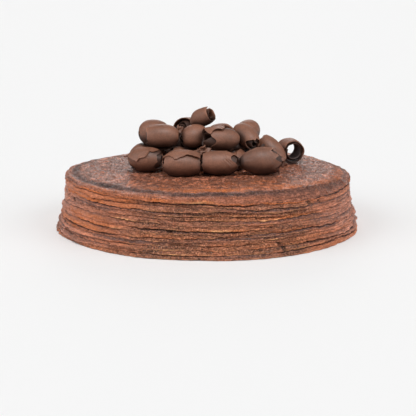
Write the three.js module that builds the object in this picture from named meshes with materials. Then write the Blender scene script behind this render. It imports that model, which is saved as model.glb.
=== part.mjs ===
// A chocolate mille crepe cake, uncut: fourteen crepes whose margins drape over the edge of the
// pile like shingles, and a heap of rolled chocolate curls on its top.
// Millimetres, +Z up, origin at the middle of the flat underside, front of the cake towards -Y.
// A bearing is an angle round the cake in degrees: 0 is the front, 90 the right (+X) side.

import * as THREE from "three";

// ---- Driving dimensions of the cake ----
const CAKE_HEIGHT = 45;
const BASE_RADIUS = 120.6;
const WAIST_RADIUS = 113.1; // the sides are steep above FLARE_HEIGHT and spread below it
const FLARE_HEIGHT = 30;
const FLARE_POWER = 1.6;
const FOOT_HEIGHT = 0.4; // the lowest crepe's rounded foot
const TOP_LEAN = 0.6; // how much higher the flat top's right edge lies than its middle
const SEGMENTS = 54; // facets round every crepe
const GAP = 0.3; // clearance between neighbouring pieces

// ---- Driving dimensions of a crepe ----
const LIP_THICKNESS = 1.3; // how thick a hanging margin is at its lip
const LIP_UNDERCUT = 0.35; // how much the lip's inner corner lies above its outer one
const CREVICE = 0.8; // the most that the groove under a lip deepens from place to place
const DRAPE = 14; // width of the margin that bends down over the edge
const LIP_DROP = 1.3; // least height between one lip and the next
const RUFFLE_HEIGHT = 0.3; // the waves of a lip, up and down
const RUFFLE_REACH = 0.65; // and in and out
const RUFFLE_COUNTS = [3, 5, 8, 13]; // waves round the whole rim

// The top crepe's shoulder: how far in from the lip, and how far below the flat top.
const SHOULDER_INSET = 7.6;
const SHOULDER_FALL = 1.5;
const BEND_INSET = 2.4;
const BEND_RISE = 2; // height of the outer bend above the lip

// Height of each crepe's lip, top crepe first, at seven bearings across the front.
const LIP_BEARINGS = [-90, -60, -30, 0, 30, 60, 90];
const LIP_HEIGHTS = [
  [39.4, 40.5, 40.0, 38.6, 36.5, 35.6, 39.6],
  [36.0, 37.4, 36.6, 36.0, 33.6, 32.6, 36.6],
  [32.8, 34.4, 33.4, 32.6, 30.8, 29.6, 33.4],
  [29.6, 31.6, 30.6, 29.2, 28.4, 26.8, 30.0],
  [26.4, 28.4, 27.6, 26.6, 26.0, 24.0, 26.8],
  [23.4, 25.0, 24.6, 23.2, 22.8, 21.2, 23.6],
  [20.4, 20.8, 20.0, 20.0, 19.4, 18.6, 20.4],
  [17.4, 17.6, 17.0, 17.2, 16.8, 15.8, 17.4],
  [14.4, 13.6, 14.2, 14.9, 14.4, 13.4, 14.8],
  [11.2, 10.4, 11.4, 12.5, 12.1, 11.2, 12.2],
  [8.2, 7.8, 8.6, 9.9, 9.9, 9.0, 9.6],
  [5.4, 5.2, 5.8, 6.8, 7.2, 6.9, 6.8],
  [2.6, 2.6, 2.9, 3.3, 3.9, 4.6, 3.8],
  [0, 0, 0, 0, 0, 0, 0],
];
const CREPES = LIP_HEIGHTS.length;
const LAYER = CAKE_HEIGHT / CREPES; // one crepe with its share of cream

// ---- Driving dimensions of a chocolate curl ----
const SHEET = 1.1; // thickness of the rolled sheet
const ROLL_PITCH = 2.3; // how far the sheet lies under its own free end after one turn
const ROLL_POWER = 1.7; // how late in that turn it winds inwards
const BULGE = 0.42; // share of the radius that a curl loses at its ends
const CURL_STEPS = 14; // facets along the rolled sheet
const CURL_BANDS = [-1, -0.42, 0.42, 1]; // rows of points along a curl's axis
const FLAP_WIDTH = 0.45; // width of the sheet at its free outer end, as a share of the length
const FLAP_TURN = 0.24; // the share of a turn in which the flap widens to the full length
const TAIL_WIDTH = 0.8; // the same at the hidden inner end
const TAIL_TURN = 0.4; // the share of a turn in which the sheet narrows to that end
const RAGGED = 0.1; // how unevenly the curl's ends are torn
const FIRST_CURL_SEED = 101; // seeds of the torn ends, one after the other

// The heap: where each curl lies, the way its axis points (heading from +X towards +Y, tilt
// upwards), how far it is rolled about that axis, its length, diameter and turns of sheet.
const CURLS = [
  { name: "curl_front_a", at: [-48, -21, 55], aim: [-14, 3], roll: 60, size: [28, 21], turns: 1.3 },
  { name: "curl_front_b", at: [-20, -38.5, 55], aim: [4, 0], roll: 50, size: [28.5, 22], turns: 1.3 },
  { name: "curl_front_c", at: [9, -38, 54], aim: [0, 0], roll: 200, size: [28.5, 20], turns: 1.25 },
  { name: "curl_front_d", at: [39.5, -35, 55], aim: [8, 2], roll: 150, size: [31, 23], turns: 1.35 },
  { name: "curl_ring", at: [67.5, 17, 56], aim: [108, 4], roll: 120, size: [14, 21], turns: 1.08, bulge: 0.1 },
  { name: "curl_left_low", at: [-51, 10, 55], aim: [60, 0], roll: 20, size: [23, 20.5], turns: 1.3 },
  { name: "curl_low_a", at: [-24, -12, 55], aim: [84, 0], roll: 75, size: [24, 19], turns: 1.25 },
  { name: "curl_low_b", at: [-3, -13, 54], aim: [100, 0], roll: 30, size: [24, 18], turns: 1.3 },
  { name: "curl_low_c", at: [23, -13, 54], aim: [80, 0], roll: 100, size: [23, 17.5], turns: 1.25 },
  { name: "curl_right", at: [51, 6, 60], aim: [-32, -42], roll: 80, size: [26, 18], turns: 1.3 },
  { name: "curl_left_top", at: [-44, 7, 74], aim: [20, 0], roll: 10, size: [23, 21.5], turns: 1.3 },
  { name: "curl_mid_a", at: [-34.5, -13, 70], aim: [-6, 0], roll: 215, size: [25.5, 20.5], turns: 1.3 },
  { name: "curl_mid_b", at: [-9, -7, 70], aim: [24, 14], roll: 95, size: [22, 20.5], turns: 1.3 },
  { name: "curl_mid_c", at: [10, -16, 70], aim: [14, -2], roll: 35, size: [28, 20.5], turns: 1.45 },
  { name: "curl_mid_d", at: [30, -4, 70], aim: [-55, -26], roll: 60, size: [25, 17.5], turns: 1.4 },
  { name: "curl_back_top_a", at: [-15, 15, 77], aim: [238, 6], roll: 0, size: [22, 22], turns: 1.5 },
  { name: "curl_back_top_b", at: [11, 14, 71], aim: [30, 0], roll: 60, size: [22, 19], turns: 1.25 },
  { name: "curl_back_top_c", at: [33, 17, 71], aim: [72, 4], roll: 40, size: [23, 18.5], turns: 1.3 },
  { name: "curl_peak", at: [-6, 2, 82], aim: [-32, 24], roll: 110, size: [18.5, 15], turns: 1.45 },
  { name: "curl_rear_a", at: [-37, 28, 55], aim: [-50, 0], roll: 20, size: [26, 19], turns: 1.3 },
  { name: "curl_rear_b", at: [-13, 35, 55], aim: [16, 0], roll: 60, size: [26, 19], turns: 1.25 },
  { name: "curl_rear_c", at: [15, 33, 55], aim: [-20, 0], roll: 80, size: [25, 18], turns: 1.3 },
  { name: "curl_rear_d", at: [37, 22, 55], aim: [50, 0], roll: 100, size: [25, 18], turns: 1.3 },
  { name: "curl_low_d", at: [3, 12, 54], aim: [4, 0], roll: 100, size: [25, 17], turns: 1.25 },
  { name: "curl_low_e", at: [-22, 12, 54], aim: [82, 0], roll: 30, size: [21, 20], turns: 1.25 },
];

// ---- Settling of the heap ----
const SETTLE_ROUNDS = 240; // passes in which touching curls push each other apart
const PUSH_SHARE = 0.35; // share of an overlap that one pass takes away
const DROP_STEP = 0.2; // how far a curl sinks at a time
const NEIGHBOUR_SHARE = 0.75; // curls further apart than this share of their lengths can't touch

// ---- Materials ----
const CREPE_COLOURS = [0x8a4a2f, 0x7c4029, 0x93512f];
const CURL_COLOUR = 0x57382d;

function material(name, colour, roughness) {
  const made = new THREE.MeshStandardMaterial({ color: colour, roughness, metalness: 0 });
  made.name = name;
  return made;
}

const crepeMaterials = CREPE_COLOURS.map((colour) => material("crepe", colour, 0.75));
const curlMaterial = material("chocolate", CURL_COLOUR, 0.45);

/** A repeatable source of numbers from 0 to 1. */
function seeded(seed) {
  let state = seed;
  return () => {
    state = (state + 0x6d2b79f5) | 0;
    let mixed = Math.imul(state ^ (state >>> 15), 1 | state);
    mixed = (mixed + Math.imul(mixed ^ (mixed >>> 7), 61 | mixed)) ^ mixed;
    return ((mixed ^ (mixed >>> 14)) >>> 0) / 4294967296;
  };
}

/** A closed geometry from corner points and triangles of their indices. */
function geometryOf(points, triangles) {
  const flat = points.flatMap((point) => [point.x, point.y, point.z]);
  const geometry = new THREE.BufferGeometry();
  geometry.setAttribute("position", new THREE.Float32BufferAttribute(flat, 3));
  geometry.setIndex(triangles);
  geometry.computeVertexNormals();
  return geometry;
}

// ================= The crepes =================

/** The point at a radius, height and bearing. */
function polar(radius, height, bearing) {
  const angle = THREE.MathUtils.degToRad(bearing);
  return new THREE.Vector3(radius * Math.sin(angle), -radius * Math.cos(angle), height);
}

/** The radius that the lips reach at a height. */
function envelope(height) {
  const below = Math.max(0, 1 - height / FLARE_HEIGHT);
  return WAIST_RADIUS + (BASE_RADIUS - WAIST_RADIUS) * below ** FLARE_POWER;
}

/** How much higher than its middle a crepe lies where it starts to bend down. */
function leanAt(bearing) {
  return TOP_LEAN * Math.sin(THREE.MathUtils.degToRad(bearing));
}

/** A smooth curve round the cake through a crepe's front lip heights. */
function frontCurve(heights, bearing) {
  const rear = heights.reduce((sum, height) => sum + height, 0) / heights.length;
  const bearings = [-180, ...LIP_BEARINGS, 180];
  const values = [rear, ...heights, rear];
  const wrapped = THREE.MathUtils.euclideanModulo(bearing + 180, 360) - 180;
  const next = Math.max(1, bearings.findIndex((edge) => edge > wrapped));
  const share = THREE.MathUtils.smoothstep(wrapped, bearings[next - 1], bearings[next]);
  return THREE.MathUtils.lerp(values[next - 1], values[next], share);
}

/** A wave round the rim that is a sum of cosines, between about -1 and 1. */
function ruffle(seed) {
  const random = seeded(seed);
  const phases = RUFFLE_COUNTS.map(() => random() * 2 * Math.PI);
  return (bearing) => {
    const angle = THREE.MathUtils.degToRad(bearing);
    const waves = RUFFLE_COUNTS.map((count, i) => Math.cos(count * angle + phases[i]));
    return waves.reduce((sum, wave) => sum + wave, 0) / Math.sqrt(RUFFLE_COUNTS.length);
  };
}

/** Every crepe's lip at a bearing, from the top down: outer and inner corner. */
function lipsAt(bearing, waves) {
  const lips = [];
  let roof = Infinity;
  LIP_HEIGHTS.forEach((heights, i) => {
    const wave = waves[i];
    const lowest = i === CREPES - 1;
    const ruffled = frontCurve(heights, bearing) + RUFFLE_HEIGHT * wave.height(bearing);
    const height = lowest ? FOOT_HEIGHT : Math.min(ruffled, roof - LIP_DROP);
    const reach = envelope(height) + RUFFLE_REACH * wave.reach(bearing);
    const inset = LIP_THICKNESS + CREVICE * Math.max(0, wave.crevice(bearing));
    lips.push({
      radius: reach,
      height,
      innerRadius: reach - inset,
      innerHeight: height + LIP_UNDERCUT,
    });
    roof = height;
  });
  return lips;
}

/**
 * A closed body between a top and a bottom point, through rings of points from top to bottom.
 * Every four-sided facet is split from its inner to its outer ring the same way, above and below
 * the widest ring, so that the underside of one crepe fits the top of the next.
 */
function bodyOfRings(top, rings, bottom, widest) {
  const count = rings[0].length;
  const points = [top, ...rings.flat(), bottom];
  const triangles = [];
  const index = (ring, i) => 1 + ring * count + (i % count);
  for (let i = 0; i < count; i += 1) {
    triangles.push(0, index(0, i), index(0, i + 1));
    for (let ring = 0; ring < rings.length - 1; ring += 1) {
      const [a, b] = [index(ring, i), index(ring, i + 1)];
      const [c, d] = [index(ring + 1, i), index(ring + 1, i + 1)];
      if (ring < widest) triangles.push(a, c, d, a, d, b);
      else triangles.push(a, c, b, b, c, d);
    }
    triangles.push(points.length - 1, index(rings.length - 1, i + 1), index(rings.length - 1, i));
  }
  return geometryOf(points, triangles);
}

/** The rings of points round crepe number i, from its top surface over the lip to its underside. */
function crepeRings(i, lipsByBearing) {
  const rows = lipsByBearing.map(({ bearing, lips }) => {
    const lip = lips[i];
    const flatTop = CAKE_HEIGHT - i * LAYER + leanAt(bearing);
    const bendRadius = lip.radius - DRAPE;
    const row = [];
    if (i === 0) {
      row.push(polar(bendRadius, flatTop, bearing));
      row.push(polar(lip.radius - SHOULDER_INSET, flatTop - SHOULDER_FALL, bearing));
      row.push(polar(lip.radius - BEND_INSET, lip.height + BEND_RISE, bearing));
    } else {
      const above = lips[i - 1];
      row.push(polar(above.radius - DRAPE, flatTop, bearing));
      row.push(polar(above.innerRadius - GAP, above.innerHeight - GAP, bearing));
    }
    row.push(polar(lip.radius, lip.height, bearing));
    if (i === CREPES - 1) {
      row.push(polar(lip.radius - FOOT_HEIGHT, 0, bearing));
    } else {
      row.push(polar(lip.innerRadius, lip.innerHeight, bearing));
      row.push(polar(bendRadius, flatTop - LAYER + GAP, bearing));
    }
    return row;
  });
  return rows[0].map((_, ring) => rows.map((row) => row[ring]));
}

function addCrepes(group) {
  const waves = LIP_HEIGHTS.map((_, i) => ({
    height: ruffle(3 * i + 1),
    reach: ruffle(3 * i + 2),
    crevice: ruffle(3 * i + 3),
  }));
  const lipsByBearing = Array.from({ length: SEGMENTS }, (_, k) => {
    const bearing = (360 * k) / SEGMENTS;
    return { bearing, lips: lipsAt(bearing, waves) };
  });
  for (let i = 0; i < CREPES; i += 1) {
    const top = new THREE.Vector3(0, 0, CAKE_HEIGHT - i * LAYER);
    const floor = i === CREPES - 1 ? 0 : top.z - LAYER + GAP;
    const rings = crepeRings(i, lipsByBearing);
    const lipRing = i === 0 ? 3 : 2; // the top crepe has its shoulder's two rings before its lip
    const geometry = bodyOfRings(top, rings, new THREE.Vector3(0, 0, floor), lipRing);
    const mesh = new THREE.Mesh(geometry, crepeMaterials[i % crepeMaterials.length]);
    mesh.name = `crepe_${String(i + 1).padStart(2, "0")}`;
    group.add(mesh);
  }
}

// ================= The chocolate curls =================

/** The share of its full radius that a curl's barrel shape has at a distance from its middle. */
function barrelShare(curl, along) {
  const share = along / (curl.length / 2);
  return 1 - curl.bulge * share * share;
}

/** The outer radius of the rolled sheet after a number of turns from its free end. */
function sheetRadius(curl, turn, along) {
  const inwards = ROLL_PITCH * Math.min(turn, turn ** ROLL_POWER);
  return (curl.diameter / 2 - inwards) * barrelShare(curl, along);
}

/** The share of a curl's half length that the sheet reaches after a number of turns. */
function sheetWidth(curl, turn) {
  const flap = THREE.MathUtils.smoothstep(turn, -FLAP_TURN / 2, FLAP_TURN);
  const tail = THREE.MathUtils.smoothstep(turn, curl.turns - TAIL_TURN, curl.turns);
  return THREE.MathUtils.lerp(FLAP_WIDTH, 1, flap) * THREE.MathUtils.lerp(1, TAIL_WIDTH, tail);
}

/** The grids of points on the outside and the inside of a rolled sheet, in the curl's own frame. */
function sheetGrids(curl, seed) {
  const random = seeded(seed);
  const outer = [];
  const inner = [];
  for (let i = 0; i <= CURL_STEPS; i += 1) {
    const turn = (curl.turns * i) / CURL_STEPS;
    const angle = curl.roll + 2 * Math.PI * turn;
    const torn = [1 - RAGGED * random(), 1 - RAGGED * random()];
    const rowAt = (depth) =>
      CURL_BANDS.map((band) => {
        const ragged = band < 0 ? torn[0] : torn[1];
        const along = (band * sheetWidth(curl, turn) * ragged * curl.length) / 2;
        const radius = sheetRadius(curl, turn, along) - depth;
        return new THREE.Vector3(along, radius * Math.cos(angle), radius * Math.sin(angle));
      });
    outer.push(rowAt(0));
    inner.push(rowAt(SHEET));
  }
  return { outer, inner };
}

/** A curl with its centre, turning and sheet worked out from its row in the heap. */
function curlOf(row, i) {
  const heading = THREE.MathUtils.degToRad(row.aim[0]);
  const tilt = THREE.MathUtils.degToRad(row.aim[1]);
  const turning = new THREE.Quaternion().setFromEuler(new THREE.Euler(0, -tilt, heading, "ZYX"));
  const curl = {
    name: row.name,
    centre: new THREE.Vector3(...row.at),
    turning,
    roll: THREE.MathUtils.degToRad(row.roll),
    length: row.size[0],
    diameter: row.size[1],
    bulge: row.bulge ?? BULGE,
    turns: row.turns,
  };
  curl.grids = sheetGrids(curl, FIRST_CURL_SEED + i);
  curl.probes = curl.grids.outer.flat().map((point) => point.clone().applyQuaternion(turning));
  return curl;
}

/** How deep a point lies inside a curl with its clearance, or 0 outside it. */
function depthIn(curl, point) {
  const local = point.clone().sub(curl.centre).applyQuaternion(curl.turning.clone().invert());
  const endwise = curl.length / 2 + GAP - Math.abs(local.x);
  if (endwise <= 0) return 0;
  const fromFlap = (Math.atan2(local.z, local.y) - curl.roll) / (2 * Math.PI);
  const turn = THREE.MathUtils.euclideanModulo(fromFlap, 1);
  const sideways = sheetRadius(curl, turn, local.x) + GAP - Math.hypot(local.y, local.z);
  return Math.max(0, Math.min(endwise, sideways));
}

/** The deepest that either of two curls reaches into the other. */
function overlapOf(a, b) {
  if (a.centre.distanceTo(b.centre) > (a.length + b.length) * NEIGHBOUR_SHARE) return 0;
  const into = (probed, other) =>
    Math.max(...probed.probes.map((probe) => depthIn(other, probe.clone().add(probed.centre))));
  return Math.max(into(a, b), into(b, a));
}

/** The height of a curl's lowest point over the top of the cake, less the clearance. */
function heightOverCake(curl) {
  const lowest = curl.centre.z + Math.min(...curl.probes.map((probe) => probe.z));
  const leaning = (TOP_LEAN * curl.centre.x) / (WAIST_RADIUS - DRAPE);
  return lowest - CAKE_HEIGHT - leaning - GAP;
}

/** Moves overlapping curls apart along the line between them, and out of the cake. */
function pushApart(curls) {
  for (let round = 0; round < SETTLE_ROUNDS; round += 1) {
    curls.forEach((a, i) => {
      for (const b of curls.slice(i + 1)) {
        const overlap = overlapOf(a, b);
        if (overlap === 0) continue;
        const push = b.centre.clone().sub(a.centre).setLength(overlap * PUSH_SHARE);
        b.centre.add(push);
        a.centre.sub(push);
      }
      a.centre.z -= Math.min(0, heightOverCake(a));
    });
  }
}

/** Lets each curl down, the lowest first, until it rests on the cake or on another curl. */
function letDown(curls) {
  const byHeight = [...curls].sort((a, b) => a.centre.z - b.centre.z);
  for (const curl of byHeight) {
    const others = curls.filter((other) => other !== curl);
    const touches = () => others.some((other) => overlapOf(curl, other) > 0);
    while (heightOverCake(curl) > DROP_STEP && !touches()) curl.centre.z -= DROP_STEP;
    if (touches()) curl.centre.z += DROP_STEP;
  }
}

/** A closed sheet between an outer and an inner grid of points. */
function sheetBetween(outer, inner) {
  const columns = outer[0].length;
  const points = [...outer.flat(), ...inner.flat()];
  const shift = outer.length * columns;
  const triangles = [];
  const quad = (a, b, c, d) => triangles.push(a, b, c, a, c, d);
  const at = (i, k) => i * columns + k;
  for (let i = 0; i < outer.length - 1; i += 1) {
    for (let k = 0; k < columns - 1; k += 1) {
      quad(at(i, k), at(i + 1, k), at(i + 1, k + 1), at(i, k + 1));
      quad(shift + at(i, k), shift + at(i, k + 1), shift + at(i + 1, k + 1), shift + at(i + 1, k));
    }
    quad(at(i, 0), shift + at(i, 0), shift + at(i + 1, 0), at(i + 1, 0));
    const last = columns - 1;
    quad(at(i, last), at(i + 1, last), shift + at(i + 1, last), shift + at(i, last));
  }
  for (let k = 0; k < columns - 1; k += 1) {
    const end = outer.length - 1;
    quad(at(0, k), at(0, k + 1), shift + at(0, k + 1), shift + at(0, k));
    quad(at(end, k), shift + at(end, k), shift + at(end, k + 1), at(end, k + 1));
  }
  return geometryOf(points, triangles);
}

function addCurls(group) {
  const curls = CURLS.map(curlOf);
  pushApart(curls);
  letDown(curls);
  for (const curl of curls) {
    const mesh = new THREE.Mesh(sheetBetween(curl.grids.outer, curl.grids.inner), curlMaterial);
    mesh.name = curl.name;
    mesh.position.copy(curl.centre);
    mesh.quaternion.copy(curl.turning);
    group.add(mesh);
  }
}

const cake = new THREE.Group();
cake.name = "crepe_cake";
addCrepes(cake);
addCurls(cake);

export default cake;
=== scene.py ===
"""Finishes an uncut chocolate crepe cake: fourteen crepes whose margins drape over the edge of the
pile like shingles, and a heap of rolled chocolate curls on top.

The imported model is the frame. Every crepe takes its lip from its own solid and every curl its place
from its own, so nothing here moves the cake. Metres, +Z up, the front towards -Y. A bearing is an
angle round the cake: 0 is the front, 90 degrees the right (+X) side.
"""

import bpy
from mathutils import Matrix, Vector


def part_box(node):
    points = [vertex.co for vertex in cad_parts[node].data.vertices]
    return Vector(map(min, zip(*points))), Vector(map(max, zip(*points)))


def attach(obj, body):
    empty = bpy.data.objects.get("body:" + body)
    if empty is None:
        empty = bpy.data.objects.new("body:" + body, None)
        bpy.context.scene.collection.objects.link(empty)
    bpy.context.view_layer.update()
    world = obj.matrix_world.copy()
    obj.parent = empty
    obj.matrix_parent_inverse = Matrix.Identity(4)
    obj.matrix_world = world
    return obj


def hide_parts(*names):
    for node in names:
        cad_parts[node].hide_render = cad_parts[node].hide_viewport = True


bl_info = {
    "name": "Chocolate crepe cake",
    "version": (1, 0, 0),
    "blender": (4, 5, 0),
    "location": "View3D > Sidebar > Crepe cake",
    "description": "Lays the crepes of a chocolate crepe cake and heaps chocolate curls on it",
    "category": "Add Mesh",
}

import math

import bpy
import numpy as np
from mathutils import Euler

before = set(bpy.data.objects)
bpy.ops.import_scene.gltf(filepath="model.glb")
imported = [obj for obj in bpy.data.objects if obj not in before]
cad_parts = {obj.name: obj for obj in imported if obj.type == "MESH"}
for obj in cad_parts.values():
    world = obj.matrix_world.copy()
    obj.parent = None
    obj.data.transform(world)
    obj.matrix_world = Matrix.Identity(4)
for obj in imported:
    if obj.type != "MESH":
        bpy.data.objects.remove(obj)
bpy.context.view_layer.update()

MM = 0.001
BODY = "root"
CREPES = [f"crepe_{number:02d}" for number in range(1, 15)]

# ---- The frame's own sizes that its solids don't say by themselves ----
FACETS = 54  # facets round every solid crepe
LAYER = 45 / 14 * MM  # one crepe with its share of cream
TOP = 45 * MM  # height of the flat top's middle
TOP_LEAN = 0.6 * MM  # how much higher its right edge lies
DRAPE = 14 * MM  # width of the margin that bends down over the edge
SHEET_PITCH = 2.3 * MM  # how far a curl's sheet lies under its own free end after one turn
SHEET_POWER = 1.7  # how late in that turn it winds inwards
SOLID_STEPS = 15  # rows of points along a solid curl's sheet
SOLID_BANDS = (-1, -0.42, 0.42, 1)  # rows of points along its axis
SOLID_BULGE = 0.42  # share of the radius that it loses at its ends
RING_BULGE = 0.1  # the same for the ring
SOLID_WIDTH = 0.95  # width of its ragged sheet, as a share of the curl's length
FLAP_WIDTH = 0.45  # the share of that width at the free end
FLAP_START, FLAP_END = -0.12, 0.24  # the turns between which the flap widens to all of it
TAIL_LOSS, TAIL_TURN = 0.2, 0.4  # what it loses at its hidden end, and over how much of a turn

# ---- Hidden and mean sizes ----
HIDDEN_EDGE = 98 * MM  # radius at which a crepe ends, out of sight under the one above
MEAN_RIM = 0.117  # mean radius of the lips, in metres
RIM_CLEARANCE = 0.95 * MM  # least height between two lips

# ---- Fineness ----
RIM_POINTS = 1200  # points round every crepe
FACE_ROWS = 11  # rows of points on the part of a margin that shows
LIP_ROWS = 3  # rows round the edge of a lip
DISC_ROWS = 44  # rows of points from the middle of the top to its shoulder
SHOULDER_ROWS = 30  # and from there to the lip

# ---- First seeds of the random waves and draws ----
LIP_SEED, FLAKE_SEED, BELLY_SEED, FACE_SEED = 1000, 2000, 3000, 4000
PATCH_SEED, CLOUD_SEED, DRY_SEED, CURL_SEED, SHRED_SEED = 5000, 6000, 7000, 9000, 500
TOP_SEED = 70


# ================= What a user may change =================


class CrepeSettings(bpy.types.PropertyGroup):
    thin_lip: bpy.props.FloatProperty(
        name="Thin lip",
        description="How thick a margin is where its lip lies close on the crepe below",
        unit="LENGTH", default=0.2 * MM,
    )
    proud_lip: bpy.props.FloatProperty(
        name="Proud lip", description="How thick a margin is where its lip stands out",
        unit="LENGTH", default=1.25 * MM,
    )
    crevice: bpy.props.FloatProperty(
        name="Crevice",
        description="How far behind a proud lip the next crepe starts, besides the lip's thickness",
        unit="LENGTH", default=1.3 * MM,
    )
    relief: bpy.props.FloatProperty(
        name="Relief", description="Height of the ledges and wrinkles of a margin",
        unit="LENGTH", default=0.36 * MM,
    )
    crust: bpy.props.FloatVectorProperty(
        name="Crust", description="Colour of the baked crepe",
        subtype="COLOR", min=0, max=1, default=(0.82, 0.28, 0.14),
    )
    top: bpy.props.FloatVectorProperty(
        name="Top", description="Colour of the top crepe",
        subtype="COLOR", min=0, max=1, default=(0.86, 0.27, 0.125),
    )
    brown: bpy.props.FloatVectorProperty(
        name="Browned spots", description="Colour of the darker mottling",
        subtype="COLOR", min=0, max=1, default=(0.25, 0.094, 0.055),
    )
    vein: bpy.props.FloatVectorProperty(
        name="Wrinkles", description="Colour of the fine wrinkles of the top crepe",
        subtype="COLOR", min=0, max=1, default=(0.3, 0.078, 0.024),
    )
    skin: bpy.props.FloatVectorProperty(
        name="Skin", description="Colour of the smooth skin of the top crepe, mostly on its shoulder",
        subtype="COLOR", min=0, max=1, default=(0.7, 0.255, 0.155),
    )
    pale: bpy.props.FloatVectorProperty(
        name="Pale crust", description="Colour of the calmer, paler crust round the sides",
        subtype="COLOR", min=0, max=1, default=(0.97, 0.45, 0.33),
    )
    toast: bpy.props.FloatVectorProperty(
        name="Toasted crumb", description="Colour of the coarse, darker crumb",
        subtype="COLOR", min=0, max=1, default=(0.17, 0.072, 0.038),
    )
    amber: bpy.props.FloatVectorProperty(
        name="Lips", description="Colour of the thin lips and of the warmer patches of a margin",
        subtype="COLOR", min=0, max=1, default=(0.74, 0.205, 0.055),
    )
    # Painted glints: pale specks on the crumb where a moist surface would sparkle.
    glint: bpy.props.FloatVectorProperty(
        name="Glints", description="Colour of the pale specks of the crumb",
        subtype="COLOR", min=0, max=1, default=(0.88, 0.43, 0.27),
    )
    # Partly the crust's own orange, partly a painted highlight where the top starts to bend down.
    line: bpy.props.FloatVectorProperty(
        name="Dry rim", description="Colour of the dry line round the top crepe, inside its dark bend",
        subtype="COLOR", min=0, max=1, default=(0.95, 0.24, 0.055),
    )
    flake: bpy.props.FloatVectorProperty(
        name="Flakes", description="Colour of the loose flakes of dry crepe",
        subtype="COLOR", min=0, max=1, default=(0.95, 0.46, 0.2),
    )
    # Painted shade: this near-black goes into the crevices under proud lips, the tears, the dark wrinkles,
    # the bend of the top crepe and the hidden rows.
    shade: bpy.props.FloatVectorProperty(
        name="Crevices", description="Colour of the chocolate cream deep in the crevices",
        subtype="COLOR", min=0, max=1, default=(0.022, 0.012, 0.01),
    )
    # Painted cool shade under the lips above and on the bend of the top crepe, with some random cool tone in
    # patches.
    bloom: bpy.props.FloatVectorProperty(
        name="Bloom", description="Colour of the cool brown bloom on the bend and in patches below it",
        subtype="COLOR", min=0, max=1, default=(0.14, 0.075, 0.065),
    )


class CurlSettings(bpy.types.PropertyGroup):
    sheet: bpy.props.FloatProperty(
        name="Sheet", description="Thickness of the shaved chocolate",
        unit="LENGTH", default=1.0 * MM,
    )
    chocolate: bpy.props.FloatVectorProperty(
        name="Chocolate", description="Colour of the chocolate",
        subtype="COLOR", min=0, max=1, default=(0.208, 0.085, 0.048),
    )
    # Painted shade: laid on the undersides of the curls, inside the rolls, where curls touch, and over the
    # larger shreds in the gaps.
    deep: bpy.props.FloatVectorProperty(
        name="Undersides",
        description="Colour of the chocolate underneath, inside the rolls and where curls touch",
        subtype="COLOR", min=0, max=1, default=(0.05, 0.021, 0.013),
    )
    torn: bpy.props.FloatVectorProperty(
        name="Torn rims", description="Colour of the thin, torn rims",
        subtype="COLOR", min=0, max=1, default=(0.34, 0.15, 0.09),
    )


class StageSettings(bpy.types.PropertyGroup):
    lens: bpy.props.FloatProperty(
        name="Lens", description="Focal length in millimetres", min=1, default=85.3
    )
    eye: bpy.props.FloatVectorProperty(
        name="Camera", description="Place of the camera",
        subtype="TRANSLATION", unit="LENGTH", default=(0.0002, -0.7752, 0.1792),
    )
    pitch: bpy.props.FloatProperty(
        name="Pitch", description="How far the camera looks down",
        subtype="ANGLE", default=math.radians(12.2),
    )
    floor: bpy.props.FloatVectorProperty(
        name="Floor", description="Colour of the pale floor",
        subtype="COLOR", min=0, max=1, default=(0.845, 0.845, 0.845),
    )


# ================= Modelling helpers =================


def clear_selection():
    """Leaves edit mode and deselects everything."""
    if bpy.context.object and bpy.context.object.mode != "OBJECT":
        bpy.ops.object.mode_set(mode="OBJECT")
    bpy.ops.object.select_all(action="DESELECT")


def take(piece):
    """Makes a piece the only selected one, and the active one."""
    clear_selection()
    piece.select_set(True)
    bpy.context.view_layer.objects.active = piece


def edit(piece, elements="VERT"):
    """Opens a piece in edit mode, to select its points or faces."""
    take(piece)
    bpy.ops.object.mode_set(mode="EDIT")
    bpy.ops.mesh.select_mode(type=elements)


def copy_of(piece, name):
    """A copy with its own mesh."""
    take(piece)
    bpy.ops.object.duplicate(linked=False)
    made = bpy.context.active_object
    made.name = made.data.name = name
    return made


def points_of(piece):
    """Where a piece's points are, one row each."""
    flat = np.empty(len(piece.data.vertices) * 3, np.float32)
    piece.data.vertices.foreach_get("co", flat)
    return flat.reshape(-1, 3).astype(float)


def set_points(piece, points):
    piece.data.vertices.foreach_set("co", points.astype(np.float32).ravel())
    piece.data.update()


def set_mask(piece, name, values):
    """Keeps a number from 0 to 1 on every point, for the material to read."""
    mask = piece.data.attributes.new(name, "FLOAT", "POINT")
    mask.data.foreach_set("value", np.clip(values, 0, 1).astype(np.float32).ravel())


def flat_sheet(name, columns, steps):
    """A flat sheet one metre square, with each point's place across and along it from 0 to 1."""
    clear_selection()
    bpy.ops.mesh.primitive_grid_add(x_subdivisions=columns, y_subdivisions=steps, size=1, calc_uvs=True)
    piece = bpy.context.active_object
    piece.name = piece.data.name = name
    flat = points_of(piece)
    return piece, flat[:, 0] + 0.5, flat[:, 1] + 0.5


def thicken(piece, thickness, offset, weights=""):
    """Gives a sheet its thickness, thinner where a group of weights says so."""
    take(piece)
    bpy.ops.object.modifier_add(type="SOLIDIFY")
    solid = piece.modifiers[-1]
    solid.thickness = thickness
    solid.offset = offset
    solid.vertex_group = weights
    bpy.ops.object.modifier_apply(modifier=solid.name)
    piece.vertex_groups.clear()
    bpy.ops.object.shade_smooth_by_angle(angle=math.radians(50))


def finish_piece(piece, slot, material, *nodes):
    """Gives a piece its material and its body, and hides the solid nodes that it stands for. Its slot is not
    used.
    """
    piece.data.materials.clear()
    piece.data.materials.append(material)
    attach(piece, BODY)
    if nodes:
        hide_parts(*nodes)


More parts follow.
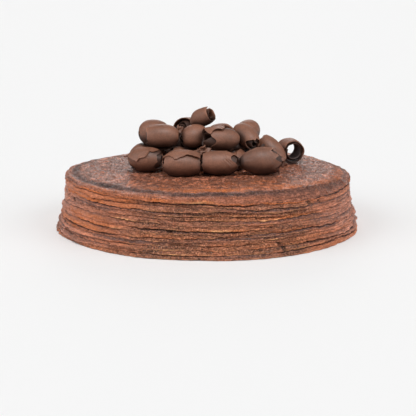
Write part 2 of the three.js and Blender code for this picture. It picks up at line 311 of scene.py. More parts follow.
def ripples(seed, rows, columns, across, along):
    """Random waves with a spread of 1 over a strip whose rows close on themselves. across and along
    are the waves' sizes, in rows and in columns."""
    white = np.random.default_rng(seed).standard_normal((2 * rows, columns))
    over = np.fft.fftfreq(2 * rows)[:, None] * across
    round_it = np.fft.fftfreq(columns)[None, :] * along
    kept = np.exp(-2 * (math.pi**2) * (over**2 + round_it**2))
    waves = np.fft.ifft2(np.fft.fft2(white) * kept).real[:rows]
    waves -= waves.mean()
    return waves / waves.std()


def rim_ripples(seed, length):
    """Random waves round the rim, of about a length in metres."""
    points = length / (2 * math.pi * MEAN_RIM) * RIM_POINTS
    return ripples(seed, 1, RIM_POINTS, 0, points / 4)[0]


def through(p, a, b, q, t):
    """The smooth curve from a to b that comes from p and goes on to q, at a share t of its way."""
    bent = 2 * p - 5 * a + 4 * b - q + t * (3 * (a - b) + q - p)
    return a + 0.5 * t * (b - p + t * bent)


def smooth_step(value, low, high):
    """0 up to low and 1 from high on, with a smooth rise between them."""
    share = np.clip((value - low) / (high - low), 0, 1)
    return share * share * (3 - 2 * share)


def hump(value, middle, half_width):
    """1 at the middle, falling to 0 over a few half widths."""
    return np.exp(-(((value - middle) / half_width) ** 2))


# ================= The crepes =================

# Where a lip stands proud over a dark crevice: crepe, first and last bearing, how proud. It is thin
# and close at 0, and at 1 as thick as a proud lip is.
PROUD_LIPS = [
    ("crepe_01", -24, 17, 1.5),
    ("crepe_01", -64, -38, 0.7),
    ("crepe_02", -50, -28, 0.7),
    ("crepe_02", 6, 40, 0.65),
    ("crepe_03", -52, -4, 0.8),
    ("crepe_04", 49, 60, 0.9),
    ("crepe_04", 8, 28, 0.6),
    ("crepe_05", -14, 8, 0.6),
    ("crepe_05", 30, 46, 0.5),
    ("crepe_06", -38, -22, 0.6),
    ("crepe_07", -28, 14, 1.3),
    ("crepe_08", -56, -34, 0.7),
    ("crepe_08", 24, 60, 1.1),
    ("crepe_09", -84, -34, 1.5),
    ("crepe_09", -34, 2, 0.6),
    ("crepe_11", -44, -24, 0.8),
    ("crepe_11", -4, 18, 0.6),
    ("crepe_12", 34, 72, 1.5),
    ("crepe_13", -76, -52, 1.1),
    ("crepe_13", 22, 56, 0.9),
    ("crepe_13", 56, 98, 1.6),
    ("crepe_02", 100, 150, 0.8),
    ("crepe_05", 118, 166, 1.1),
    ("crepe_11", 104, 142, 0.9),
    ("crepe_08", 168, 214, 1.2),
    ("crepe_12", 150, 188, 1.0),
    ("crepe_03", 190, 236, 0.8),
    ("crepe_10", 204, 250, 1.2),
    ("crepe_06", 226, 268, 1.0),
]
# Where a lip draws back: crepe, first and last bearing, how many mm.
DRAWN_IN = [
    ("crepe_02", 78, 104, 1.4),
    ("crepe_03", 78, 104, 1.2),
    ("crepe_04", 80, 100, 1.0),
    ("crepe_11", 76, 98, 1.0),
    ("crepe_12", 76, 100, 1.6),
    ("crepe_13", 78, 102, 1.7),
    ("crepe_14", 84, 104, 0.8),
    ("crepe_09", 160, 186, 1.2),
    ("crepe_04", 214, 238, 1.0),
]
# Where the skin of a margin has another tone, and where the cool mask paints shade under a proud
# lip: crepe, mask, first and last bearing, strength.
PATCHES = [
    ("crepe_02", "amber", -72, -26, 0.55),
    ("crepe_03", "amber", -76, -24, 0.75),
    ("crepe_07", "amber", -66, -38, 0.6),
    ("crepe_08", "amber", -60, -34, 0.7),
    ("crepe_09", "amber", -72, -36, 0.55),
    ("crepe_10", "amber", -64, -44, 0.5),
    ("crepe_14", "amber", 38, 92, 0.5),
    ("crepe_14", "toast", -95, -24, 0.75),
    ("crepe_13", "toast", -90, -30, 0.6),
    ("crepe_12", "toast", -66, -34, 0.35),
    ("crepe_13", "toast", 34, 80, 0.5),
    ("crepe_12", "toast", 36, 60, 0.35),
    ("crepe_05", "amber", 24, 40, 0.4),
    ("crepe_04", "bloom", -54, -10, 0.95),
    ("crepe_03", "bloom", 6, 38, 0.8),
    ("crepe_10", "bloom", -82, -34, 0.95),
    ("crepe_11", "bloom", -46, -22, 0.85),
    ("crepe_09", "bloom", 18, 56, 0.9),
    ("crepe_12", "bloom", 40, 62, 0.6),
    ("crepe_08", "bloom", -26, 10, 0.5),
    ("crepe_06", "bloom", -74, -58, 0.5),
    ("crepe_06", "bloom", 100, 150, 0.8),
    ("crepe_04", "amber", 110, 168, 0.7),
    ("crepe_09", "bloom", 166, 214, 0.9),
    ("crepe_07", "amber", 180, 240, 0.7),
    ("crepe_11", "bloom", 206, 250, 0.8),
    ("crepe_12", "amber", 96, 150, 0.6),
]
# Where the crumb is coarse and dark: first and last bearing.
COARSE = [(-28, 40), (140, 205)]
# The front, where the crust isn't paler: first and last bearing.
FRONT = (-52, 52)
# Loose flakes of crepe that catch the light: crepe, bearing, length in degrees.
FLAKES = [
    ("crepe_01", -4, 12),
    ("crepe_05", 19.5, 6),
    ("crepe_05", 25, 3),
    ("crepe_10", 23.5, 9),
    ("crepe_07", 4, 9),
    ("crepe_06", -31, 10),
    ("crepe_06", -34, 4),
    ("crepe_08", -34, 5),
    ("crepe_12", -15, 7),
    ("crepe_13", -11, 8),
    ("crepe_06", 100, 8),
    ("crepe_10", 150, 9),
    ("crepe_03", 190, 7),
    ("crepe_08", 230, 8),
]
# Short tears down through a margin and its lip: crepe, bearing.
TEARS = [
    ("crepe_12", 25.2),
    ("crepe_13", 26.6),
    ("crepe_02", 39),
    ("crepe_02", 45),
    ("crepe_05", -62),
    ("crepe_08", -13.5),
    ("crepe_08", -104),
    ("crepe_04", 128),
    ("crepe_10", 172),
    ("crepe_06", 214),
]


def solid_lip(node):
    """Radius and height of a solid crepe's lip at each of its facets, from the front rightwards."""
    x, y, z = points_of(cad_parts[node]).T
    radius = np.hypot(x, y)
    facet = np.round(np.arctan2(x, -y) / (2 * math.pi) * FACETS).astype(int) % FACETS
    widest = [np.flatnonzero(facet == k)[np.argmax(radius[facet == k])] for k in range(FACETS)]
    return radius[widest], z[widest]


def round_the_rim(values):
    """A smooth closed curve through values that stand evenly round the rim."""
    place = np.arange(RIM_POINTS) * len(values) / RIM_POINTS
    whole = np.floor(place).astype(int)
    return through(*(values[(whole + shift) % len(values)] for shift in (-1, 0, 1, 2)), place - whole)


BEARINGS = np.arange(RIM_POINTS) * 360 / RIM_POINTS


def bearing_gap(bearing):
    """How many degrees each point of the rim lies from a bearing."""
    return (BEARINGS - bearing + 180) % 360 - 180


def bearing_run(start, end, soft=7):
    """1 between two bearings and 0 outside, with soft ends."""
    from_middle = np.abs(bearing_gap((start + end) / 2))
    return 1 - smooth_step(from_middle, (end - start) / 2 - soft, (end - start) / 2 + soft)


def laid_out(table, *names):
    """The strongest of the entries of a table that have these names, at every point of the rim."""
    found = np.zeros(RIM_POINTS)
    for *named, start, end, strength in table:
        if tuple(named) == names:
            found = np.maximum(found, strength * bearing_run(start, end, 5))
    return found


def tears_of(node, down):
    """1 where a crepe is torn at a share of the way down to its lip, and 0 elsewhere."""
    torn = np.zeros(RIM_POINTS)
    for name, bearing in TEARS:
        if name == node:
            torn = np.maximum(torn, hump(bearing_gap(bearing + 1.4 * (down - 0.5)), 0, 0.8))
    return torn


def flakes_of(node, torn):
    """How far a crepe's lip has come loose in flakes, at every point of the rim."""
    flakes = np.zeros(RIM_POINTS)
    for name, bearing, length in FLAKES:
        if name == node:
            flakes = np.maximum(flakes, torn * hump(bearing_gap(bearing), 0, length / 2.2))
    return flakes


def lips_of_the_cake(settings):
    """Every crepe's uneven lip: radius, height, thickness, the depth of the crevice under it, and how
    proud it stands."""
    lips = []
    roof = math.inf
    for i, node in enumerate(CREPES):
        radius, height = (round_the_rim(values) for values in solid_lip(node))
        seed = LIP_SEED + 20 * i
        lowest = i == len(CREPES) - 1
        proud = 0.2 + 0.3 * rim_ripples(seed + 9, 60 * MM) + 0.12 * rim_ripples(seed + 10, 14 * MM)
        flatter = 0.6 * bearing_run(34, 84, 12) + 0.55 * bearing_run(-88, -34, 12)
        proud = np.clip(proud, 0, 0.75) * (1 - flatter)
        proud = np.maximum(proud, laid_out(PROUD_LIPS, node))
        proud = np.clip(proud + 0.07 * rim_ripples(seed + 11, 5 * MM), 0, 1.6)
        torn = 1 + 1.1 * (1 - bearing_run(-66, 66, 14))
        radius = radius + MM * (
            0.32 * rim_ripples(seed, 26 * MM)
            + 0.17 * torn * rim_ripples(seed + 1, 9 * MM)
            + 0.13 * torn * rim_ripples(seed + 2, 3 * MM)
            + 0.5 * (proud - 0.5)
            - 1.1 * tears_of(node, 1)
            - laid_out(DRAWN_IN, node)
        )
        ragged = 0.3 * rim_ripples(seed + 3, 34 * MM) + 0.15 * rim_ripples(seed + 4, 8 * MM)
        if not lowest:
            height = height + MM * (ragged + 0.12 * rim_ripples(seed + 5, 2.6 * MM))
        height = np.minimum(height, roof - RIM_CLEARANCE)
        thickness = settings.thin_lip + (settings.proud_lip - settings.thin_lip) * np.minimum(proud, 1.2)
        thickness = thickness * np.clip(1 + 0.18 * rim_ripples(seed + 6, 6 * MM), 0.6, 1.5)
        crevice = thickness + 0.05 * MM + settings.crevice * proud**1.5
        crevice = np.clip(crevice, 0.22 * MM, 3.6 * MM)
        lips.append(
            dict(radius=radius, height=height, thickness=thickness, crevice=crevice, proud=proud)
        )
        roof = height
    return lips


def tube_of_rings(name, rows):
    """A plain tube of rings, one millimetre apart, that the rows of a crepe are drawn from."""
    clear_selection()
    bpy.ops.mesh.primitive_circle_add(vertices=RIM_POINTS, radius=0.1, fill_type="NOTHING")
    tube = bpy.context.active_object
    tube.name = tube.data.name = name
    edit(tube)
    bpy.ops.mesh.select_all(action="SELECT")
    for _ in range(rows - 1):
        bpy.ops.mesh.extrude_region_move(TRANSFORM_OT_translate={"value": (0, 0, MM)})
    bpy.ops.mesh.select_all(action="SELECT")
    bpy.ops.mesh.fill_holes(sides=0)
    clear_selection()
    return tube


def draw_rings(piece, rows):
    """Moves ring number n of a tube to row n, and gives every point its row and place in it."""
    x, y, z = points_of(piece).T
    ring = np.round(z / MM).astype(int)
    place = np.round(np.arctan2(x, -y) / (2 * math.pi) * RIM_POINTS).astype(int) % RIM_POINTS
    radius = np.array([row[0] for row in rows])[ring, place]
    height = np.array([row[1] for row in rows])[ring, place]
    angle = np.radians(BEARINGS[place])
    set_points(piece, np.stack([radius * np.sin(angle), -radius * np.cos(angle), height], 1))
    edit(piece)
    bpy.ops.mesh.select_all(action="SELECT")
    bpy.ops.mesh.normals_make_consistent(inside=False)
    clear_selection()
    take(piece)
    bpy.ops.object.shade_smooth()
    return ring, place


def empty_masks(rows):
    """The masks that the finish of a crepe reads, for every row and point of the rim."""
    names = ("amber", "shade", "bloom", "toast", "flake", "even")
    return {name: np.zeros((len(rows), RIM_POINTS)) for name in names}


def keep_masks(piece, masks, ring, place):
    """Puts the masks on the points of a crepe that was drawn from rings."""
    for name, values in masks.items():
        set_mask(piece, name, values[ring, place])


def lip_rows(lip, lowest):
    """The rows round a lip's edge, and up its hidden inner side."""
    rows = []
    half = lip["thickness"] / 2
    for n in range(1, LIP_ROWS + 1):
        turn = math.pi * n / LIP_ROWS
        height = lip["height"] - 0.8 * half * math.sin(turn)
        rows.append((lip["radius"] - half + half * math.cos(turn), np.maximum(height, 0)))
    if lowest:
        rows.append((lip["radius"] - DRAPE, np.zeros(RIM_POINTS)))
        return rows
    rows.append((lip["radius"] - 2.1 * half, lip["height"] + 0.9 * MM))
    return rows


def coarse_crumb():
    """1 round the rim where the crumb is coarse and dark, and 0 elsewhere, with soft ends."""
    return np.max([bearing_run(start, end, 10) for start, end in COARSE], axis=0)


def face_relief(seed, rows, amount):
    """Ledges, long wrinkles, upright creases and small bumps over the part of a margin that shows,
    with masks of the painted shade along the ledge steps and in the hollows, and of the bright rims
    between them."""
    steps = np.linspace(0, 1, rows)[:, None]
    wander = ripples(seed, rows, RIM_POINTS, 9, 40)
    ledges = (steps * 1.6 + 0.6 * wander + 0.12 * ripples(seed + 1, rows, RIM_POINTS, 2, 7)) % 1
    where = smooth_step(ripples(seed + 2, rows, RIM_POINTS, 6, 30), -0.3, 1.0)
    wrinkles = ripples(seed + 3, rows, RIM_POINTS, 0.8, 10)
    bumps = ripples(seed + 4, rows, RIM_POINTS, 0.8, 1.1)
    creases = ripples(seed + 5, rows, RIM_POINTS, 4, 1.3) * smooth_step(
        ripples(seed + 6, rows, RIM_POINTS, 5, 16), -0.2, 1.4
    )
    swells = ripples(seed + 7, rows, RIM_POINTS, 7, 12)
    coarse = coarse_crumb()
    relief = 1.2 * where * (ledges - 0.5) + 0.34 * wrinkles + 0.3 * (1 + 0.8 * coarse) * bumps
    relief = amount * (relief + 0.36 * creases + 0.36 * swells)
    lines = where * smooth_step(ledges, 0.2, 0.02) + 0.7 * smooth_step(wrinkles, -1.0, -1.9)
    lines = lines * (0.3 + 0.7 * coarse) + 0.6 * coarse * smooth_step(bumps, -1.1, -2.2)
    rims = where * smooth_step(ledges, 0.72, 0.95) + 0.4 * smooth_step(bumps, 1.2, 2.2)
    return relief, lines, rims * (0.3 + 0.7 * coarse)


def draped_crepe(i, lips, blank, settings, material):
    """A crepe whose margin hangs out from under the lip of the crepe above it."""
    node = CREPES[i]
    above, lip = lips[i - 1], lips[i]
    lowest = i == len(CREPES) - 1
    level = np.full(RIM_POINTS, TOP - i * LAYER)

    # The margin comes out from the crevice under the lip above and bellies down to its own lip.
    start = above["radius"] - above["crevice"]
    start_height = above["height"] - 0.4 * above["thickness"] - 0.05 * MM
    drop = start_height - lip["height"]
    belly = lip["radius"] + MM * (0.1 + 0.2 * rim_ripples(BELLY_SEED + i, 20 * MM) - 0.35 * lip["proud"])
    inner = np.full(RIM_POINTS, HIDDEN_EDGE)
    rows = [
        (inner, level),
        (above["radius"] - above["crevice"] - 0.9 * MM, above["height"] + 1.3 * MM),
        (start - 0.15 * MM, above["height"] + 0.2 * MM),
    ]
    count = FACE_ROWS + 1
    relief, lines, rims = face_relief(FACE_SEED + 10 * i, count, settings.relief)
    flakes = flakes_of(node, 0.85 + 0.25 * rim_ripples(FLAKE_SEED + i, 2 * MM))
    shares = np.linspace(0, 1, count)
    tears = np.array([tears_of(node, t) * math.sin(math.pi * (0.1 + 0.7 * t)) for t in shares])
    rim_limit = above["radius"] - above["thickness"] * 0.4
    for n, t in enumerate(shares):
        radius = (1 - t) ** 2 * start + 2 * t * (1 - t) * belly + t * t * lip["radius"]
        height = start_height - drop * (0.3 * t * (1 - t) + t * t)
        radius = radius + min(1, 4 * t) * relief[n]
        radius = radius - (2 - 1.1 * t) * MM * tears[n]
        radius = radius + 0.6 * MM * flakes * smooth_step(t, 0.7, 0.95)
        tucked = height > above["height"] - above["thickness"] / 2
        rows.append((np.where(tucked, np.minimum(radius, rim_limit), radius), height))
    rows += lip_rows(lip, lowest)
    if not lowest:
        rows.append((inner, level - LAYER + 0.3 * MM))
    piece = copy_of(blank, f"{node}_margin")
    ring, place = draw_rings(piece, rows)

    # Proud lips and some patches are amber, crevices, tears and sharp wrinkles get painted shade, and
    # the coarse crumb is toasted. Painted cool shade lies between them, strongest just under the lip
    # above, with some random cool tone, and away from the front the crust is paler.
    face = slice(3, 3 + count)
    rim = slice(3 + count, 3 + count + LIP_ROWS)
    masks = empty_masks(rows)
    amber, shade, bloom, toast, flake, even = masks.values()
    down = shares[:, None]
    clouds = ripples(CLOUD_SEED + i, count, RIM_POINTS, 7, 45)
    patchy = smooth_step(rim_ripples(PATCH_SEED + i, 22 * MM), -0.2, 1.6)
    warm = 1.4 * laid_out(PATCHES, node, "amber") + 0.55 * smooth_step(clouds, 0.3, 1.7)
    cool = laid_out(PATCHES, node, "bloom") + 0.8 * smooth_step(clouds, -0.3, -1.5)
    coarse = coarse_crumb()
    stands = np.clip(1.4 * lip["proud"], 0.15, 1)
    amber[face] = (
        smooth_step(down, 0.78, 0.96) * (0.05 + 0.6 * patchy) * stands * (1 - 0.3 * coarse)
        + warm * (0.25 + 0.6 * smooth_step(down, 0.1, 0.8))
        + 0.22 * rims
    )
    # Painted shade: dark under a proud lip above, along the ledge steps and hollows, and in the tears.
    depth = np.clip(above["proud"], 0, 1.4)
    shade[face] = (
        (1 - smooth_step(down, 0.04 + 0.19 * depth, 0.16 + 0.4 * depth)) * (0.12 + 1.1 * depth)
        + (0.35 + 0.25 * coarse) * np.clip(lines, 0, 1)
        + 1.7 * tears
    )
    # Painted cool shade, most just under the lip above.
    cool = cool + 0.5 * (1 - smooth_step(down, 0.1, 0.5)) * smooth_step(clouds, 1.2, -0.6)
    bloom[face] = cool * (1 - 0.8 * smooth_step(down, 0.55, 0.9))
    everywhere = coarse * np.clip(0.7 + 0.03 * i + 0.3 * clouds, 0, 1)
    in_patches = laid_out(PATCHES, node, "toast") * np.clip(0.8 + 0.4 * clouds, 0, 1)
    toast[face] = np.maximum(everywhere * (1 - 0.5 * smooth_step(down, 0.8, 1)), in_patches)
    amber[rim] = (0.1 + 0.6 * patchy) * stands + 0.6 * warm.mean(0)
    toast[rim] = 0.5 * coarse
    dry = 0.3 * coarse * smooth_step(rim_ripples(DRY_SEED + i, 12 * MM), -0.4, 1.2)
    flake[face] = smooth_step(down, 0.78, 0.95) * np.maximum(flakes, dry)
    flake[rim] = np.maximum(flakes, dry)
    # Painted shade on the hidden rows under the lip above, under this crepe's own lip and on its hidden inner
    # side.
    shade[:4] = np.maximum(shade[:4], (0.3 + 0.7 * depth)[None, :])
    shade[4 + count : 3 + count + LIP_ROWS] = 0.45 * np.clip(1.5 * lip["proud"], 0.2, 1)
    shade[3 + count + LIP_ROWS :] = 1
    even += 0.5 * (1 - bearing_run(*FRONT, 16))
    keep_masks(piece, masks, ring, place)
    finish_piece(piece, "crepe", material, node)


def plane_waves(seed, x, y, length, count=30):
    """Random waves of about a length over a plane, with a spread of about 1."""
    random = np.random.default_rng(seed)
    waves = np.zeros_like(x)
    for _ in range(count):
        angle, phase = random.uniform(0, 2 * math.pi, 2)
        k = 2 * math.pi / (length * random.uniform(0.7, 1.5))
        waves += np.cos(k * (math.cos(angle) * x + math.sin(angle) * y) + phase)
    return waves / math.sqrt(count / 2)


def top_bumps(x, y):
    """How far the top crepe rises or sinks at a place."""
    swells = plane_waves(TOP_SEED + 1, x, y, 22 * MM)
    blisters = np.maximum(plane_waves(TOP_SEED + 2, x, y, 8 * MM), -0.4)
    return MM * (0.1 * swells + 0.2 * blisters + 0.07 * plane_waves(TOP_SEED + 3, x, y, 5 * MM))


def top_crepe(lips, settings, material):
    """The top crepe: its bumpy disc, its rounded shoulder and its smooth hanging margin."""
    lip = lips[0]
    node = CREPES[0]
    angle = np.radians(BEARINGS)
    edge = lip["radius"] - DRAPE
    lean = TOP_LEAN * np.sin(angle)
    rows = []
    for n in range(DISC_ROWS):
        share = 0.03 + 0.97 * n / DISC_ROWS
        radius = edge * share
        x, y = radius * np.sin(angle), -radius * np.cos(angle)
        rows.append((radius, TOP + lean * share + top_bumps(x, y)))

    # The shoulder bends down over four places: where it leaves the flat top, its crease, the outer
    # bend above the lip, and the lip. It has sunk at the right.
    sunk = bearing_run(64, 130, 22)
    drop = [
        (edge, TOP + lean),
        (lip["radius"] - 7.6 * MM, TOP + lean - MM * (1.3 + 1.6 * sunk)),
        (lip["radius"] - 2.2 * MM, lip["height"] + MM * (2.6 - 0.6 * sunk)),
        (lip["radius"], lip["height"]),
    ]
    way = [
        (2 * drop[0][0] - drop[1][0], drop[0][1] + 0.3 * MM),
        *drop,
        (lip["radius"] + 0.2 * MM, lip["height"] - 3 * MM),
    ]
    shares = np.linspace(0, 1, SHOULDER_ROWS)
    x, y = edge * np.sin(angle), -edge * np.cos(angle)
    level_bumps = top_bumps(x, y)
    folds = ripples(TOP_SEED + 5, SHOULDER_ROWS, RIM_POINTS, 1.2, 16)
    fine = ripples(TOP_SEED + 6, SHOULDER_ROWS, RIM_POINTS, 0.8, 2.2)
    for n, share in enumerate(shares):
        leg = min(2, int(share * 3))
        t = share * 3 - leg
        outwards, upwards = (through(*(place[axis] for place in way[leg : leg + 4]), t) for axis in (0, 1))
        lift = MM * (0.16 * folds[n] + 0.07 * fine[n]) * math.sin(math.pi * min(1, 0.1 + share * 0.9))
        rows.append((outwards + lift * share, upwards + lift * (1 - share) + level_bumps * (1 - share)))
    rows += lip_rows(lip, False)
    rows.append((np.full(RIM_POINTS, HIDDEN_EDGE), np.full(RIM_POINTS, TOP - LAYER + 0.3 * MM)))
    piece = tube_of_rings(f"{node}_margin", len(rows))
    ring, place = draw_rings(piece, rows)

    # A band of painted shade, faint at the right, runs round the shoulder where it bends, with an amber
    # line inside it at the front and right that is partly the crust's own orange and partly a painted
    # highlight, painted cool shade on its outer side and an amber lip below.
    masks = empty_masks(rows)
    amber, shade, bloom, _, flake, even = masks.values()
    face = slice(DISC_ROWS, DISC_ROWS + SHOULDER_ROWS)
    rim = slice(DISC_ROWS + SHOULDER_ROWS, DISC_ROWS + SHOULDER_ROWS + LIP_ROWS)
    wander = 0.02 * rim_ripples(TOP_SEED + 11, 30 * MM) + 0.012 * rim_ripples(TOP_SEED + 12, 6 * MM)
    s = shares[:, None] + wander[None, :]
    right = (bearing_run(-26, 96, 12) - 0.5 * bearing_run(44, 96, 12))[None, :]
    left = bearing_run(-120, -22, 16)[None, :]
    patchy = (0.55 + 0.45 * smooth_step(rim_ripples(TOP_SEED + 13, 20 * MM), -1.4, 0.8))[None, :]
    middle = 0.3 + 0.12 * bearing_run(24, 120, 10) + 0.12 * bearing_run(50, 120, 12)
    middle = (middle - 0.08 * bearing_run(-42, -16, 8))[None, :]
    narrow = 0.16 + 0.02 * left - 0.06 * bearing_run(24, 110, 12)[None, :]
    front_lip = bearing_run(-50, 30, 14)[None, :]
    streaky = ripples(TOP_SEED + 14, SHOULDER_ROWS, RIM_POINTS, 0.9, 18)
    amber[face] = (
        (1 - smooth_step(s, middle - 1.3 * narrow, middle - 0.9 * narrow))
        * smooth_step(s, middle - 0.5, middle - 0.3)
        * (0.1 + 0.9 * right)
        * patchy
        + smooth_step(s, 0.86 - 0.05 * front_lip, 0.96) * (0.4 + 0.3 * patchy + 0.3 * front_lip)
        + (0.4 * smooth_step(streaky, 0.5, 1.6) + 0.25 * front_lip)
        * smooth_step(s, middle + 0.1, middle + 0.2)
    )
    faint = 0.9 - 0.35 * bearing_run(-200, -56, 12) - 0.2 * bearing_run(-34, -12, 8)
    faint = faint - 0.66 * bearing_run(26, 120, 12)
    shade[face] = hump(s, middle, narrow) * (0.9 + 0.1 * patchy) * faint
    shade[face] += 0.4 * smooth_step(streaky, -0.8, -1.8) * smooth_step(s, middle + 0.05, middle + 0.15)
    bloom[face] = np.maximum(
        (0.9 - 0.45 * bearing_run(-30, 120, 14)) * hump(s, middle + 0.02, 1.3 * narrow),
        0.3 * smooth_step(s, middle + 0.06, middle + 0.14) * (1 - bearing_run(28, 120, 12)),
    ) * (1 - smooth_step(s, 0.62, 0.8))
    bloom[face] *= 1 - 0.7 * bearing_run(-30, 24, 14) * smooth_step(s, middle + 0.08, middle + 0.2)
    amber[rim] = 0.6 + 0.4 * front_lip
    disc = np.arange(DISC_ROWS)[:, None] / DISC_ROWS
    # The disc's outer edge at the front and right carries that amber line too, partly a painted highlight;
    # the front of the disc is a little warmer, and further out it has a faint cool tone.
    dry = smooth_step(disc, 0.55, 0.8) * bearing_run(-34, 44, 16)[None, :]
    amber[:DISC_ROWS] = 0.2 * dry + 0.8 * smooth_step(disc, 0.89, 0.95) * bearing_run(-26, 42, 12) * patchy
    bloom[:DISC_ROWS] = 0.12 * (1 - dry) * smooth_step(disc, 0.4, 0.7)
    flaky = flakes_of(node, np.clip(0.6 + 0.4 * rim_ripples(TOP_SEED + 16, 2 * MM), 0, 1))
    flake[face] = smooth_step(s, 0.84, 0.93) * flaky
    flake[rim] = flaky
    # Painted shade under the lip and on its hidden inner side.
    shade[DISC_ROWS + SHOULDER_ROWS + 1 :] = 0.5 * np.clip(1.5 * lip["proud"], 0.1, 1)
    shade[DISC_ROWS + SHOULDER_ROWS + LIP_ROWS :] = 1
    even[face] = 0.6 + 0.3 * smooth_step(s, middle - narrow, middle + narrow)
    even[:DISC_ROWS] = 0.45 * (1 - dry)
    keep_masks(piece, masks, ring, place)
    finish_piece(piece, "crepe_top", material, node)


# ================= The chocolate curls =================

